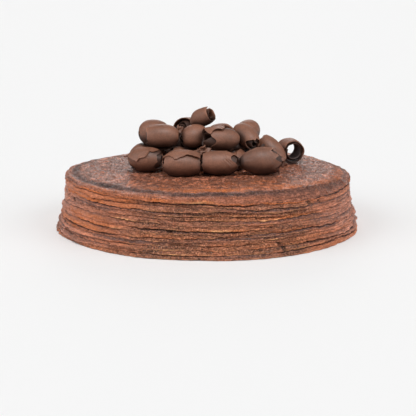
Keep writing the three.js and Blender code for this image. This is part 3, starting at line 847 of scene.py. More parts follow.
# How each curl lies: the heading and tilt of its axis and its roll in degrees, its length and
# diameter in mm, and the turns of its solid. Angles round a curl are 0 behind, 90 on top, 180 in
# front and 270 underneath; places along it run from -1 to 1.
# hand is -1 where the free end winds the other way, and start is where that end lies. edge is its
# outline: place, angle. lift is how far it stands off, in mm. pitch is how far the sheet winds
# inwards in a turn, in mm, and more the turns inside that the solid doesn't have. ends are the
# radii of the two openings, as shares of the middle one, and round how late the sheet closes to
# them. torn is how ragged the two side edges are. Each cut in a side edge of the outer layer is the
# side, its angle, half its width in degrees and its depth as a share of the half length; a negative
# depth is a point that stands out. inner does the same to the layers inside. Each crease runs from
# a place and angle to another, and has a depth in mm. dark is how much darker than the others a
# curl is, mostly towards its left end.
CURLS = {
    "curl_front_a": {
        "aim": (-14, 3), "roll": 60, "size": (28, 21), "turns": 1.3,
        "hand": -1, "start": 158, "lift": 0.9, "ends": (0.4, 0.56), "torn": (0.16, 0.24),
        "edge": (
            (-1, 156), (-0.62, 166), (-0.34, 176), (-0.15, 165), (0.1, 162), (0.42, 153), (0.5, 135),
            (0.78, 130), (1, 122),
        ),
        "cuts": [(-1, 118, 8, -0.34), (-1, 218, 30, 0.45), (1, 222, 30, 0.35), (1, 182, 9, -0.14)],
        "creases": [(0.5, 140, 0.84, 172, 0.7), (0.7, 130, 0.95, 160, 0.6), (-0.9, 100, -0.3, 138, 0.5)],
    },
    "curl_front_b": {
        "aim": (4, 0), "roll": 50, "size": (28.5, 22), "turns": 1.3,
        "hand": -1, "start": 140, "lift": 0.45, "ends": (0.45, 0.7), "torn": (0.12, 0.03),
        "edge": (
            (-1, 115), (-0.75, 125), (-0.62, 140), (-0.5, 153), (-0.23, 149), (0.05, 142), (0.3, 130),
            (0.55, 132), (0.74, 138), (1, 142),
        ),
        "cuts": [(-1, 148, 20, 0.24), (-1, 192, 12, -0.07)],
    },
    "curl_front_c": {
        "aim": (0, 0), "roll": 200, "size": (28.5, 20), "turns": 1.25,
        "start": 275, "ends": (0.66, 0.42), "torn": (0.06, 0.12),
        "cuts": [(-1, 180, 300, 0.1), (-1, 184, 9, -0.1), (1, 136, 28, 0.32), (1, 205, 8, -0.18)],
        "creases": [(0.45, 150, 0.74, 186, 0.7), (0.62, 140, 0.86, 178, 0.6)],
    },
    "curl_front_d": {
        "aim": (8, 2), "roll": 150, "size": (31, 23), "turns": 1.35,
        "start": 100, "lift": 0.3, "ends": (0.3, 0.62), "round": (1.4, 2.2), "torn": (0.03, 0.3),
        "cuts": [
            (1, 128, 12, 0.34), (1, 146, 5, -0.12), (1, 166, 10, 0.26), (1, 190, 5, -0.1), (1, 214, 12, 0.26),
        ],
        "inner": [(1, 140, 14, -0.12), (1, 175, 12, -0.08), (1, 220, 12, -0.1)],
        "creases": [(-0.8, 157, -0.48, 157, 0.8)], "dark": 0.25,
    },
    "curl_ring": {
        "aim": (108, 4), "roll": 120, "size": (14, 21), "turns": 1.08, "pitch": 1.25,
        "more": 1.3, "lift": 0.4, "start": 250, "ends": (0.96, 0.96), "torn": (0.1, 0.12),
        "cuts": [(-1, 110, 20, 0.3), (-1, 30, 10, -0.2)],
    },
    "curl_left_low": {
        "aim": (60, 0), "roll": 20, "size": (23, 20.5), "turns": 1.3, "torn": (0.3, 0.2),
        "cuts": [(-1, 60, 16, -0.3)],
    },
    "curl_low_a": {"aim": (84, 0), "roll": 75, "size": (24, 19), "turns": 1.25},
    "curl_low_b": {
        "aim": (100, 0), "roll": 30, "size": (24, 18), "turns": 1.3, "ends": (0.75, 0.6), "torn": (0.3, 0.2),
    },
    "curl_low_c": {"aim": (80, 0), "roll": 100, "size": (23, 17.5), "turns": 1.25, "ends": (0.4, 0.5)},
    "curl_right": {
        "aim": (-32, -42), "roll": 80, "size": (26, 18), "turns": 1.3,
        "start": 250, "ends": (0.62, 0.52), "torn": (0.1, 0.25),
        "cuts": [(1, 150, 30, 0.3), (1, 95, 10, -0.1)],
        "creases": [(0.2, 140, 0.9, 120, 0.6)],
    },
    "curl_left_top": {
        "aim": (20, 0), "roll": 10, "size": (23, 21.5), "turns": 1.3,
        "start": 60, "ends": (0.2, 0.6), "torn": (0.0, 0.1), "cuts": [(-1, 178, 8, -0.1)],
    },
    "curl_mid_a": {
        "aim": (-6, 0), "roll": 215, "size": (25.5, 20.5), "turns": 1.3,
        "start": 262, "ends": (0.72, 0.36), "torn": (0.0, 0.02),
        "cuts": [(-1, 172, 40, 0.12), (-1, 204, 12, 0.14)], "inner": [(-1, 214, 16, -0.1)],
    },
    "curl_mid_b": {
        "aim": (24, 14), "roll": 95, "size": (22, 20.5), "turns": 1.3,
        "start": 250, "ends": (0.3, 0.5), "torn": (0.0, 0.1), "cuts": [(-1, 110, 40, 0.08), (1, 120, 9, 0.2)],
    },
    "curl_mid_c": {
        "aim": (14, -2), "roll": 35, "size": (28, 20.5), "turns": 1.45,
        "hand": -1, "start": 125, "lift": 1.2, "ends": (0.78, 0.38), "torn": (0.03, 0.03),
        "edge": (
            (-1, 150), (-0.84, 143), (-0.7, 133), (-0.5, 127), (-0.07, 131), (0.06, 122), (0.16, 84),
            (1, 50),
        ),
        "cuts": [(-1, 186, 36, 0.55), (-1, 240, 20, 0.2)],
        "inner": [(-1, 150, 22, 0.35), (-1, 210, 20, -0.12)],
    },
    "curl_mid_d": {
        "aim": (-55, -26), "roll": 60, "size": (25, 17.5), "turns": 1.4, "pitch": 1.6,
        "start": 300, "ends": (0.6, 0.52), "torn": (0.1, 0.16),
        "cuts": [(1, 170, 26, 0.25), (1, 100, 12, -0.1)], "inner": [(1, 200, 30, -0.12)],
    },
    "curl_back_top_a": {
        "aim": (238, 6), "roll": 0, "size": (22, 22), "turns": 1.5, "pitch": 2.0,
        "ends": (0.6, 0.78), "torn": (0.2, 0.34), "cuts": [(1, 60, 30, 0.3), (1, 200, 30, 0.3)],
    },
    "curl_back_top_b": {"aim": (30, 0), "roll": 60, "size": (22, 19), "turns": 1.25},
    "curl_back_top_c": {
        "aim": (72, 4), "roll": 40, "size": (23, 18.5), "turns": 1.3,
        "ends": (0.62, 0.5), "torn": (0.2, 0.2), "cuts": [(-1, 55, 14, -0.2)],
    },
    "curl_peak": {
        "aim": (-32, 24), "roll": 110, "size": (18.5, 15), "turns": 1.45,
        "start": 100, "ends": (0.6, 0.86), "torn": (0.08, 0.03), "more": 0.2, "pitch": 1.9,
        "cuts": [(1, 92, 12, -0.55)], "inner": [(1, 140, 30, -0.1)],
    },
    "curl_rear_a": {"aim": (-50, 0), "roll": 20, "size": (26, 19), "turns": 1.3, "start": 20, "lift": 0.8},
    "curl_rear_b": {
        "aim": (16, 0), "roll": 60, "size": (26, 19), "turns": 1.25,
        "start": 40, "hand": -1, "lift": 0.7, "edge": ((-1, 60), (-0.4, 44), (0, 28), (0.3, 40), (1, 34)),
    },
    "curl_rear_c": {
        "aim": (-20, 0), "roll": 80, "size": (25, 18), "turns": 1.3,
        "torn": (0.16, 0.2), "cuts": [(1, 20, 24, 0.3)], "creases": [(-0.7, 10, -0.2, 40, 0.6)],
    },
    "curl_rear_d": {"aim": (50, 0), "roll": 100, "size": (25, 18), "turns": 1.3, "ends": (0.6, 0.4)},
    "curl_low_d": {"aim": (4, 0), "roll": 100, "size": (25, 17), "turns": 1.25},
    "curl_low_e": {"aim": (82, 0), "roll": 30, "size": (21, 20), "turns": 1.25},
}
# What a curl has where the table above doesn't say. Its edge's angles are counted from start, and
# start is its roll.
PLAIN_CURL = {
    "hand": 1, "start": None, "edge": ((-1, 0), (1, 7)), "lift": 0.4, "pitch": 1.2, "more": 1.7,
    "ends": (0.5, 0.5), "round": (2.2, 2.2), "torn": (0.1, 0.1), "cuts": (), "inner": (),
    "creases": (), "dark": 0,
}
SHEET_STEPS = 150  # rows of points along the rolled sheet
SHEET_COLUMNS = 44  # and across it
CREASE_SPAN = 0.75  # half lengths of a curl that one radian round it counts for
TORN_RIM = 0.4 * MM  # how far the torn colour reaches in from a rim
THIN_RIM = 0.9 * MM  # how far a sheet is thinner
THINNEST = 0.45  # share of the thickness that is left at the rim


def sheet_radius(diameter, turn, pitch=SHEET_PITCH):
    """How far a rolled sheet lies from its axis after some turns."""
    turn = np.maximum(turn, 0)
    return diameter / 2 - pitch * np.minimum(turn, turn**SHEET_POWER)


def curl_turning(aim):
    """The matrix that points a curl's axis to its heading and tilt, in degrees."""
    return np.array(Euler((0, -math.radians(aim[1]), math.radians(aim[0])), "XYZ").to_matrix())


def rolled(along, radius, angle, turning):
    """Points of a roll from their place along its axis, radius and angle about it."""
    local = np.stack([along, radius * np.cos(angle), radius * np.sin(angle)], -1)
    return local @ turning.T


def curl_centre(name, curl):
    """Where the axis of a curl's solid has its middle, worked out from the solid's box."""
    length, diameter = (size * MM for size in curl["size"])
    turns = np.linspace(0, curl["turns"], SOLID_STEPS)
    turn, band = np.meshgrid(turns, SOLID_BANDS, indexing="ij")
    flap = FLAP_WIDTH + (1 - FLAP_WIDTH) * smooth_step(turn, FLAP_START, FLAP_END)
    tail = 1 - TAIL_LOSS * smooth_step(turn, curl["turns"] - TAIL_TURN, curl["turns"])
    along = band * flap * tail * SOLID_WIDTH * length / 2
    bulge = RING_BULGE if name == "curl_ring" else SOLID_BULGE
    radius = sheet_radius(diameter, turn) * (1 - bulge * (2 * along / length) ** 2)
    angle = math.radians(curl["roll"]) + 2 * math.pi * turn
    shell = rolled(along, radius, angle, curl_turning(curl["aim"])).reshape(-1, 3)
    low, high = (np.array(corner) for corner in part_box(name))
    return (low + high) / 2 - (shell.min(0) + shell.max(0)) / 2


def angle_gap(angle, towards):
    """How many degrees an angle lies from another one."""
    return (angle - towards + 180) % 360 - 180


def near_others(name, points):
    """1 where a curl touches another curl, falling to 0 a few millimetres from it."""
    close = np.zeros(len(points))
    for other, curl in CURLS.items():
        if other != name:
            length, diameter = (size * MM for size in curl["size"])
            local = (points - curl_centre(other, curl)) @ curl_turning(curl["aim"])
            reach = np.hypot(local[:, 0] / (0.55 * length), np.hypot(*local[:, 1:].T) / (0.5 * diameter))
            close = np.maximum(close, smooth_step(reach, 1.4, 1.05))
    return close


def dents(creases, v, angle):
    """How deep the creases press into a curl, each with a low ridge along one side."""
    deep = np.zeros_like(v)
    for v0, a0, v1, a1, depth in creases:
        way = np.array([(v1 - v0), math.radians(a1 - a0) * CREASE_SPAN])
        here = np.stack([v - v0, np.radians(angle_gap(angle, a0)) * CREASE_SPAN], -1)
        t = np.clip(here @ way / (way @ way), 0, 1)
        off = here - t[:, None] * way
        side = off @ np.array([-way[1], way[0]]) / math.hypot(*way)
        gap = np.hypot(*off.T)
        ridge = hump(side, 0.12, 0.07) * hump(gap, 0.12, 0.09)
        fade = np.sin(np.pi * np.clip(t, 0.08, 0.92)) ** 0.5
        deep = deep + MM * depth * fade * (hump(gap, 0, 0.06) - 0.35 * ridge)
    return deep


def thin_rims(piece, from_rim):
    """The name of a group of weights that makes a sheet thinner towards its rims."""
    thick = piece.vertex_groups.new(name="thick")
    weights = np.round(np.clip(THINNEST + (1 - THINNEST) * from_rim / THIN_RIM, 0, 1), 2)
    for level in np.unique(weights):
        thick.add(np.flatnonzero(weights == level).tolist(), float(level), "REPLACE")
    return thick.name


def roll_curl(name, number, settings, material):
    """Shaves a thin sheet, tears its edges and rolls it up."""
    curl = {**PLAIN_CURL, **CURLS[name]}
    length, diameter = (size * MM for size in curl["size"])
    piece, over, along = flat_sheet(f"{name}_shaving", SHEET_COLUMNS, SHEET_STEPS)
    across = np.round(over * SHEET_COLUMNS).astype(int)
    step = np.round(along * SHEET_STEPS).astype(int)
    u = step / SHEET_STEPS
    v = 2 * across / SHEET_COLUMNS - 1
    seed = CURL_SEED + 40 * number
    turns = curl["turns"] + curl["more"]

    def wave(shift, size_step, size_across):
        field = ripples(seed + shift, SHEET_STEPS + 1, 4 * SHEET_COLUMNS, size_step, size_across)
        return field[step, across]

    # The free end follows its outline, with fine jags.
    start = curl["roll"] if curl["start"] is None else curl["start"]
    places, outline = zip(*curl["edge"])
    lies = np.interp(v, places, outline)
    if "edge" not in CURLS[name]:
        lies = lies + start
    lies = lies + 1.6 * ripples(seed, 1, 4 * SHEET_COLUMNS, 0, 1.6)[0][across]
    tip = curl["hand"] * (lies - start) / 360
    turn = tip + (turns - tip) * u
    angle = start + curl["hand"] * 360 * turn
    outer = 1 - smooth_step(turn, 0.85, 1.0)

    # The two side edges are ragged, cut and pointed, and each turn inside is a little narrower.
    torn = np.where(v < 0, curl["torn"][0], curl["torn"][1])
    sides = [
        0.7 * ripples(seed + k, SHEET_STEPS + 1, 2, 7, 0)[:, 0]
        + 0.8 * np.maximum(0, ripples(seed + k + 2, SHEET_STEPS + 1, 2, 1.5, 0)[:, 0])
        for k in (1, 2)
    ]
    ragged = np.where(v < 0, sides[0][step], sides[1][step])
    width = 1 - torn * np.clip(0.3 + 0.5 * ragged, 0, 1.8) - 0.07 * smooth_step(turn, 1, turns)
    for cuts, layer in ((curl["cuts"], outer), (curl["inner"], 1 - outer)):
        for which, towards, half, depth in cuts:
            cut = depth * hump(angle_gap(angle, towards), 0, half) * layer
            width = width * np.where(v * which > 0, 1 - cut, 1)
    along = v * width * length / 2

    # The roll bulges in its middle and closes towards its ends, more so inside.
    share = np.where(v < 0, curl["ends"][0], curl["ends"][1])
    share = share * (1 - 0.3 * smooth_step(turn, 0.8, 2))
    late = np.where(v < 0, curl["round"][0], curl["round"][1])
    reach = np.minimum(np.abs(2 * along / length), 1)
    barrel = np.sqrt(np.maximum(1 - (1 - share**2) * reach**late, 0.02))
    ends = smooth_step(np.abs(v), 0.45, 1)
    radius = sheet_radius(diameter - 0.3 * MM, turn, curl["pitch"] * MM)
    radius = radius + MM * (0.11 * wave(5, 8, 7) + (0.16 + 1.5 * torn) * ends * wave(6, 4, 6))
    radius = radius + MM * 0.3 * (1 - outer) * wave(7, 6, 8)
    radius = radius + MM * curl["lift"] * (1 - smooth_step(turn - tip, 0, 0.06)) ** 2
    radius = radius - outer * dents(curl["creases"], v, angle)
    place = rolled(along, radius * barrel, np.radians(angle), curl_turning(curl["aim"]))
    set_points(piece, place + curl_centre(name, curl))

    step_length = 2 * math.pi * (diameter / 2 - 2 * MM) * turns / SHEET_STEPS
    to_side = (1 - np.abs(v)) * width * length / 2
    to_end = np.minimum(step, SHEET_STEPS - step) * step_length
    set_mask(piece, "torn", np.maximum(np.exp(-to_side / TORN_RIM), 0.5 * np.exp(-to_end / TORN_RIM)))
    # Painted shade: the chocolate is darkened where it faces down, inside the rolls past its free end, where
    # it touches another curl, and by the curl's own dark share, most at its left end.
    underneath = -(rolled(0 * along, 1, np.radians(angle), curl_turning(curl["aim"]))[:, 2])
    deep = np.maximum(smooth_step(underneath, -0.15, 0.85), 0.95 * smooth_step(turn, 0.96, 1.12))
    deep = np.maximum(deep, 0.9 * near_others(name, points_of(piece)))
    set_mask(piece, "deep", deep + curl["dark"] * (1 - 0.8 * v))
    weights = thin_rims(piece, np.minimum(to_side, to_end))
    edit(piece, "FACE")
    bpy.ops.mesh.select_all(action="SELECT")
    if curl["hand"] > 0:
        bpy.ops.mesh.flip_normals()
    thicken(piece, settings.sheet, -1, weights)
    finish_piece(piece, "chocolate", material, name)


# Broken shavings that lie between the curls and beside the front row: their place in mm, heading,
# tilt and roll in degrees, and their size against the one that they are copied from.
SHREDS = [
    (-28, 4, 61, 20, 30, 40, 1.5),
    (-32, 14, 60, 80, 10, 200, 1.5),
    (-58, -2, 52, 40, 60, 10, 1.3),
    (-6, 4, 62, 10, 15, 150, 1.4),
    (-23, -4, 62, 60, 70, 20, 1.3),
    (22, -4, 61, 20, 10, 60, 1.4),
    (22, 4, 66, 50, 20, 250, 1.4),
    (26, 12, 60, 120, 30, 10, 1.5),
    (8, 24, 62, 40, 20, 90, 1.4),
    (40, 0, 54, 20, 40, 120, 1.4),
    (44, -8, 60, 70, 20, 190, 1.2),
    (-12, 24, 62, 100, 10, 30, 1.4),
    (24, 24, 60, 60, 10, 310, 1.4),
    (-40, 22, 62, 10, 20, 70, 1.3),
    (-24, 18, 72, 50, 50, 100, 1.1),
    (-22, -8, 76, 70, 60, 140, 0.8),
    (-4, -27, 63, 30, 20, 200, 0.9),
    (0, -28, 61, 80, 50, 20, 0.7),
    (-8, -29, 62, 130, 30, 100, 0.6),
    (56, -33, 56, 60, 40, 120, 0.75),
    (57, -30, 52, 10, 20, 40, 0.7),
    (53, -38, 48.5, 100, 10, 0, 0.6),
]
SHRED_STEPS = 24
SHRED_COLUMNS = 10


def broken_shaving():
    """The bent, ragged shred that the others are copied from, before it is thickened."""
    piece, over, t = flat_sheet("blank_shred", SHRED_COLUMNS, SHRED_STEPS)
    v = 2 * over - 1
    half = 3.4 * MM * (0.35 + 0.65 * np.sin(math.pi * np.clip(0.1 + 0.8 * t, 0, 1)))
    half = half * (1 + 0.16 * np.sin(23 * t + 1) + 0.1 * np.sin(51 * t) * np.sign(v))
    angle = math.radians(250) * t
    radius = MM * (3.2 - 1.1 * t)
    bent = np.stack([v * half + 2.2 * MM * t, radius * np.cos(angle), radius * np.sin(angle)], 1)
    set_points(piece, bent)
    set_mask(piece, "torn", 0.7 * np.maximum(smooth_step(np.abs(v), 0.7, 1), smooth_step(t, 0.9, 1)))
    return piece


def lay_shred(number, blank, settings, material):
    """Copies the shred, bends the copy its own way and lays it in its place."""
    x, y, z, heading, tilt, roll, size = SHREDS[number]
    piece = copy_of(blank, f"shred_{number + 1:02d}")
    points = points_of(piece)
    random = np.random.default_rng(SHRED_SEED + number)
    for axis, wave in enumerate(random.uniform(0, 2 * math.pi, (3, 3))):
        points[:, axis] += 0.45 * MM * np.sin(points @ random.uniform(-1100, 1100, 3) + wave[0])
    turning = Euler((math.radians(roll), -math.radians(tilt), math.radians(heading)), "XYZ")
    points = size * points @ np.array(turning.to_matrix()).T + np.array([x, y, z]) * MM
    set_points(piece, points)
    # Painted shade: the larger shreds, in the gaps between the curls, take the shade colour all over, the
    # smaller ones beside the front row a little.
    set_mask(piece, "deep", np.full(len(points), 0.2 if size < 1 else 1))
    thicken(piece, 0.8 * settings.sheet, 0)
    finish_piece(piece, "chocolate", material)


# ================= Finishes =================


def finish_group(name, colours, numbers=()):
    """A shader node group that puts out a colour, a roughness and a height, and takes these inputs."""
    group = bpy.data.node_groups.new(name, "ShaderNodeTree")
    for socket, kind in (("Color", "Color"), ("Roughness", "Float"), ("Height", "Float")):
        group.interface.new_socket(socket, in_out="OUTPUT", socket_type=f"NodeSocket{kind}")
    for sockets, kind, default in ((colours, "Color", (0.3, 0.15, 0.1, 1)), (numbers, "Float", 0.5)):
        for socket in sockets:
            made = group.interface.new_socket(socket, in_out="INPUT", socket_type=f"NodeSocket{kind}")
            made.default_value = default
    return group, node(group, "NodeGroupInput").outputs, node(group, "NodeGroupOutput").inputs


def node(tree, kind, values=None, **settings):
    """A new shader node with its settings and the values of its sockets."""
    made = tree.nodes.new(kind)
    for key, value in settings.items():
        setattr(made, key, value)
    for key, value in (values or {}).items():
        made.inputs[key].default_value = value
    return made


def noise(tree, coordinates, scale, detail, squeeze=(1, 1, 1), rough=0.55):
    """A noise pattern, squeezed so many times along each axis."""
    squeezed = node(tree, "ShaderNodeMapping")
    squeezed.inputs["Scale"].default_value = squeeze
    tree.links.new(coordinates, squeezed.inputs["Vector"])
    made = node(tree, "ShaderNodeTexNoise", {"Scale": scale, "Detail": detail, "Roughness": rough})
    tree.links.new(squeezed.outputs["Vector"], made.inputs["Vector"])
    return made.outputs["Fac"]


def math_node(tree, operation, first, second, third=None):
    made = node(tree, "ShaderNodeMath", operation=operation)
    for socket, value in zip(made.inputs, (first, second, third)):
        if value is None:
            continue
        if isinstance(value, bpy.types.NodeSocket):
            tree.links.new(value, socket)
        else:
            socket.default_value = value
    return made.outputs[0]


def times(tree, first, second):
    return math_node(tree, "MULTIPLY", first, second)


def times_plus(tree, first, second, third):
    return math_node(tree, "MULTIPLY_ADD", first, second, third)


def ranged(tree, value, low, high, to_low=0.0, to_high=1.0):
    """A value between low and high, brought to between to_low and to_high."""
    limits = {"From Min": low, "From Max": high, "To Min": to_low, "To Max": to_high}
    made = node(tree, "ShaderNodeMapRange", limits)
    tree.links.new(value, made.inputs["Value"])
    return made.outputs["Result"]


def mixed(tree, share, first, second, blend="MIX"):
    """A share of the second colour laid over the first."""
    made = node(tree, "ShaderNodeMix", data_type="RGBA", blend_type=blend)
    colours = [socket for socket in made.inputs if socket.type == "RGBA"]
    for socket, value in ((made.inputs["Factor"], share), (colours[0], first), (colours[1], second)):
        if isinstance(value, bpy.types.NodeSocket):
            tree.links.new(value, socket)
        elif isinstance(value, (int, float)):
            socket.default_value = value
        else:
            socket.default_value = (*value, 1)
    return next(socket for socket in made.outputs if socket.type == "RGBA")


def mask(tree, name):
    """A number that the piece keeps on its points."""
    return node(tree, "ShaderNodeAttribute", attribute_name=name).outputs["Fac"]


def broken_up(tree, name, pattern, low, high, least, most):
    """A mask, weakened to least where a pattern is low and to most where it is high."""
    return times(tree, mask(tree, name), ranged(tree, pattern, low, high, least, most))


def shaded(tree, share, colour, tone):
    """A colour times a tone."""
    grey = node(tree, "ShaderNodeCombineColor")
    for socket in grey.inputs:
        tree.links.new(tone, socket)
    return mixed(tree, share, colour, grey.outputs["Color"], "MULTIPLY")


def crepe_finish():
    """Baked crepe: mottled and streaked crust with fine wrinkles, lighter lips, painted shade in the
    crevices and painted cool shade, and a grain of crumbs with painted glints."""
    colours = ("Crust", "Brown", "Vein", "Skin", "Toast", "Amber", "Flake", "Glint", "Shade", "Bloom")
    numbers = ("Clouds", "Mottling", "Streaks", "Lines", "Grain", "Smoothest", "Roughest")
    group, inlet, outlet = finish_group("Baked crepe", colours, numbers)
    place = node(group, "ShaderNodeTexCoord").outputs["Object"]
    clouds = noise(group, place, 42, 4)
    group.links.new(inlet["Clouds"], clouds.node.inputs["Scale"])
    streaks = noise(group, place, 60, 5, (1, 1, 7), 0.62)
    spots = noise(group, place, 330, 3, (1, 0.5, 1.7))
    fibres = noise(group, place, 230, 4, (1, 0.35, 5), 0.6)
    pores = noise(group, place, 950, 2)
    grain = noise(group, place, 1700, 2, (1, 1, 0.6))

    even = mask(group, "even")
    calm = ranged(group, even, 0, 1, 1, 0.3)
    browned = times(group, times(group, ranged(group, clouds, 0.43, 0.58), calm), inlet["Mottling"])
    streaked = times(group, times(group, ranged(group, streaks, 0.46, 0.6), calm), inlet["Streaks"])
    veins = math_node(group, "ABSOLUTE", math_node(group, "SUBTRACT", fibres, 0.5), None)
    lined = times(group, ranged(group, veins, 0, 0.055, 1, 0), inlet["Lines"])
    lined = times(group, lined, ranged(group, even, 0.5, 0.9, 1, 0.5))
    toasted = broken_up(group, "toast", spots, 0.36, 0.6, 1, 0.45)
    # Painted cool shade, with some random cool tone.
    cooled = broken_up(group, "bloom", spots, 0.36, 0.62, 1, 0.6)
    lit = broken_up(group, "amber", streaks, 0.4, 0.56, 0.4, 1)
    coarse = times_plus(group, mask(group, "toast"), 0.6, inlet["Grain"])
    coarse = times(group, coarse, ranged(group, streaks, 0.4, 0.6, 0.35, 1.25))
    # Painted glints: pale specks where the crumb would sparkle.
    bright = times(group, ranged(group, pores, 0.54, 0.66, 0, 0.48), coarse)
    pitted = times(group, ranged(group, pores, 0.46, 0.32, 0, 0.65), coarse)
    # Painted shade from the shade mask.
    dark = broken_up(group, "shade", pores, 0.35, 0.65, 1, 0.55)
    loose = broken_up(group, "flake", spots, 0.3, 0.5, 0.5, 1)
    colour = inlet["Crust"]
    for share, name in (
        (even, "Skin"), (browned, "Brown"), (streaked, "Brown"), (lined, "Vein"), (toasted, "Toast"),
        (cooled, "Bloom"), (lit, "Amber"), (bright, "Glint"), (pitted, "Shade"), (dark, "Shade"),
        (loose, "Flake"),
    ):
        colour = mixed(group, share, colour, inlet[name])
    fleck = times(
        group, ranged(group, pores, 0.35, 0.65, 0.7, 1.3), ranged(group, grain, 0.35, 0.65, 0.8, 1.2)
    )
    group.links.new(shaded(group, coarse, colour, fleck), outlet["Color"])

    rough = node(group, "ShaderNodeMapRange", {"From Min": 0.35, "From Max": 0.65})
    group.links.new(times_plus(group, clouds, 0.5, times(group, spots, 0.5)), rough.inputs["Value"])
    group.links.new(inlet["Smoothest"], rough.inputs["To Min"])
    group.links.new(inlet["Roughest"], rough.inputs["To Max"])
    dull = times_plus(group, dark, 0.5, rough.outputs["Result"])
    group.links.new(times_plus(group, lit, 0.4, dull), outlet["Roughness"])
    height = times_plus(group, grain, 0.25, times(group, spots, 0.9))
    height = times_plus(group, streaks, 0.4, height)
    height = times_plus(group, lined, -0.6, height)
    height = times_plus(group, pores, times_plus(group, coarse, 0.6, 0.5), height)
    group.links.new(height, outlet["Height"])
    return group


def chocolate_finish():
    """Shaved chocolate: soft mottling, faint lines left by the blade, lighter torn rims, and painted
    shade where the deep mask is set.
    """
    group, inlet, outlet = finish_group("Shaved chocolate", ("Chocolate", "Torn", "Deep"))
    where = node(group, "ShaderNodeTexCoord").outputs
    clouds = noise(group, where["Object"], 120, 3)
    grain = noise(group, where["Object"], 900, 2)
    lines = noise(group, where["UV"], 3, 3, (26, 1.2, 1))
    rims = broken_up(group, "torn", clouds, 0.4, 0.6, 0.25, 0.9)
    colour = mixed(group, rims, inlet["Chocolate"], inlet["Torn"])
    # Painted shade from the deep mask.
    colour = mixed(group, mask(group, "deep"), colour, inlet["Deep"])
    tone = times(
        group, ranged(group, clouds, 0.3, 0.7, 0.82, 1.18), ranged(group, grain, 0.35, 0.65, 0.88, 1.12)
    )
    group.links.new(shaded(group, 1.0, colour, tone), outlet["Color"])
    group.links.new(ranged(group, clouds, 0.3, 0.7, 0.46, 0.58), outlet["Roughness"])
    group.links.new(times_plus(group, grain, 0.7, times(group, lines, 0.15)), outlet["Height"])
    return group


def plain_material(name):
    """A new material and its shader."""
    made = bpy.data.materials.new(name)
    made.use_nodes = True
    return made, next(n for n in made.node_tree.nodes if n.type == "BSDF_PRINCIPLED")


def finished(name, group, values, bump, specular):
    """A material that takes its colour, roughness and relief from a finish."""
    made, shader = plain_material(name)
    tree = made.node_tree
    finish = node(tree, "ShaderNodeGroup")
    finish.node_tree = group
    for key, value in values.items():
        finish.inputs[key].default_value = (*value, 1) if hasattr(value, "__len__") else value
    relief = node(tree, "ShaderNodeBump", {"Strength": 1, "Distance": bump})
    tree.links.new(finish.outputs["Color"], shader.inputs["Base Color"])
    tree.links.new(finish.outputs["Roughness"], shader.inputs["Roughness"])
    tree.links.new(finish.outputs["Height"], relief.inputs["Height"])
    tree.links.new(relief.outputs["Normal"], shader.inputs["Normal"])
    shader.inputs["Specular IOR Level"].default_value = specular
    return made


# ================= Operators =================

# The soft studio lights: name, heading from the front rightwards and height in degrees, power, and
# how wide they look from the cake, in degrees. The wider, the softer their shadows.
LIGHTS = (
    ("key_light", 8, 60, 1.76, 20),
    ("left_light", -66, 32, 0.92, 50),
    ("right_light", 64, 32, 0.78, 50),
    ("back_light", 180, 22, 0.42, 26),
)
SURROUND = 0.28  # power of the even white light from all round
FLOOR_SIZE = 160  # metres, so that the floor fills every view
SENSOR = 36  # width of the camera's sensor in mm


class CREPECAKE_OT_crepes(bpy.types.Operator):
    """Lays the fourteen crepes with their uneven draped margins"""

    bl_idname = "crepecake.crepes"
    bl_label = "Crepes"

    def execute(self, context):
        settings = context.scene.crepecake_crepes
        shades = ("crust", "brown", "skin", "toast", "amber", "flake", "glint", "shade", "bloom")
        colours = {name.capitalize(): tuple(getattr(settings, name)) for name in shades}
        side_finish = {
            **colours, "Vein": tuple(settings.brown), "Skin": tuple(settings.pale),
            "Clouds": 42, "Mottling": 0.38, "Streaks": 0.5, "Lines": 0.5, "Grain": 0.3,
            "Smoothest": 0.2, "Roughest": 0.5,
        }
        top_finish = {
            **colours, "Crust": tuple(settings.top), "Vein": tuple(settings.vein),
            "Amber": tuple(settings.line), "Brown": tuple(0.36 * value for value in settings.brown),
            "Clouds": 150, "Mottling": 1, "Streaks": 0.6, "Lines": 0.95, "Grain": 0.6,
            "Smoothest": 0.1, "Roughest": 0.62,
        }
        group = crepe_finish()
        side = finished("crepe", group, side_finish, 1.15 * MM, 0.5)
        top = finished("crepe_top", group, top_finish, 3.2 * MM, 0.62)
        lips = lips_of_the_cake(settings)
        top_crepe(lips, settings, top)
        blank = tube_of_rings("blank_crepe", 3 + FACE_ROWS + 1 + LIP_ROWS + 2)
        short = tube_of_rings("blank_lowest_crepe", 3 + FACE_ROWS + 1 + LIP_ROWS + 1)
        for i in range(1, len(CREPES)):
            lowest = i == len(CREPES) - 1
            draped_crepe(i, lips, short if lowest else blank, settings, side)
        bpy.data.objects.remove(blank)
        bpy.data.objects.remove(short)
        return {"FINISHED"}


class CREPECAKE_OT_curls(bpy.types.Operator):
    """Rolls the chocolate curls and heaps them on the cake"""

    bl_idname = "crepecake.curls"
    bl_label = "Chocolate curls"

    def execute(self, context):
        settings = context.scene.crepecake_curls
        colours = {
            name.capitalize(): tuple(getattr(settings, name)) for name in ("chocolate", "torn", "deep")
        }
        material = finished("chocolate", chocolate_finish(), colours, 0.22 * MM, 0.6)
        for number, name in enumerate(CURLS):
            roll_curl(name, number, settings, material)
        blank = broken_shaving()
        for number in range(len(SHREDS)):
            lay_shred(number, blank, settings, material)
        bpy.data.objects.remove(blank)
        return {"FINISHED"}


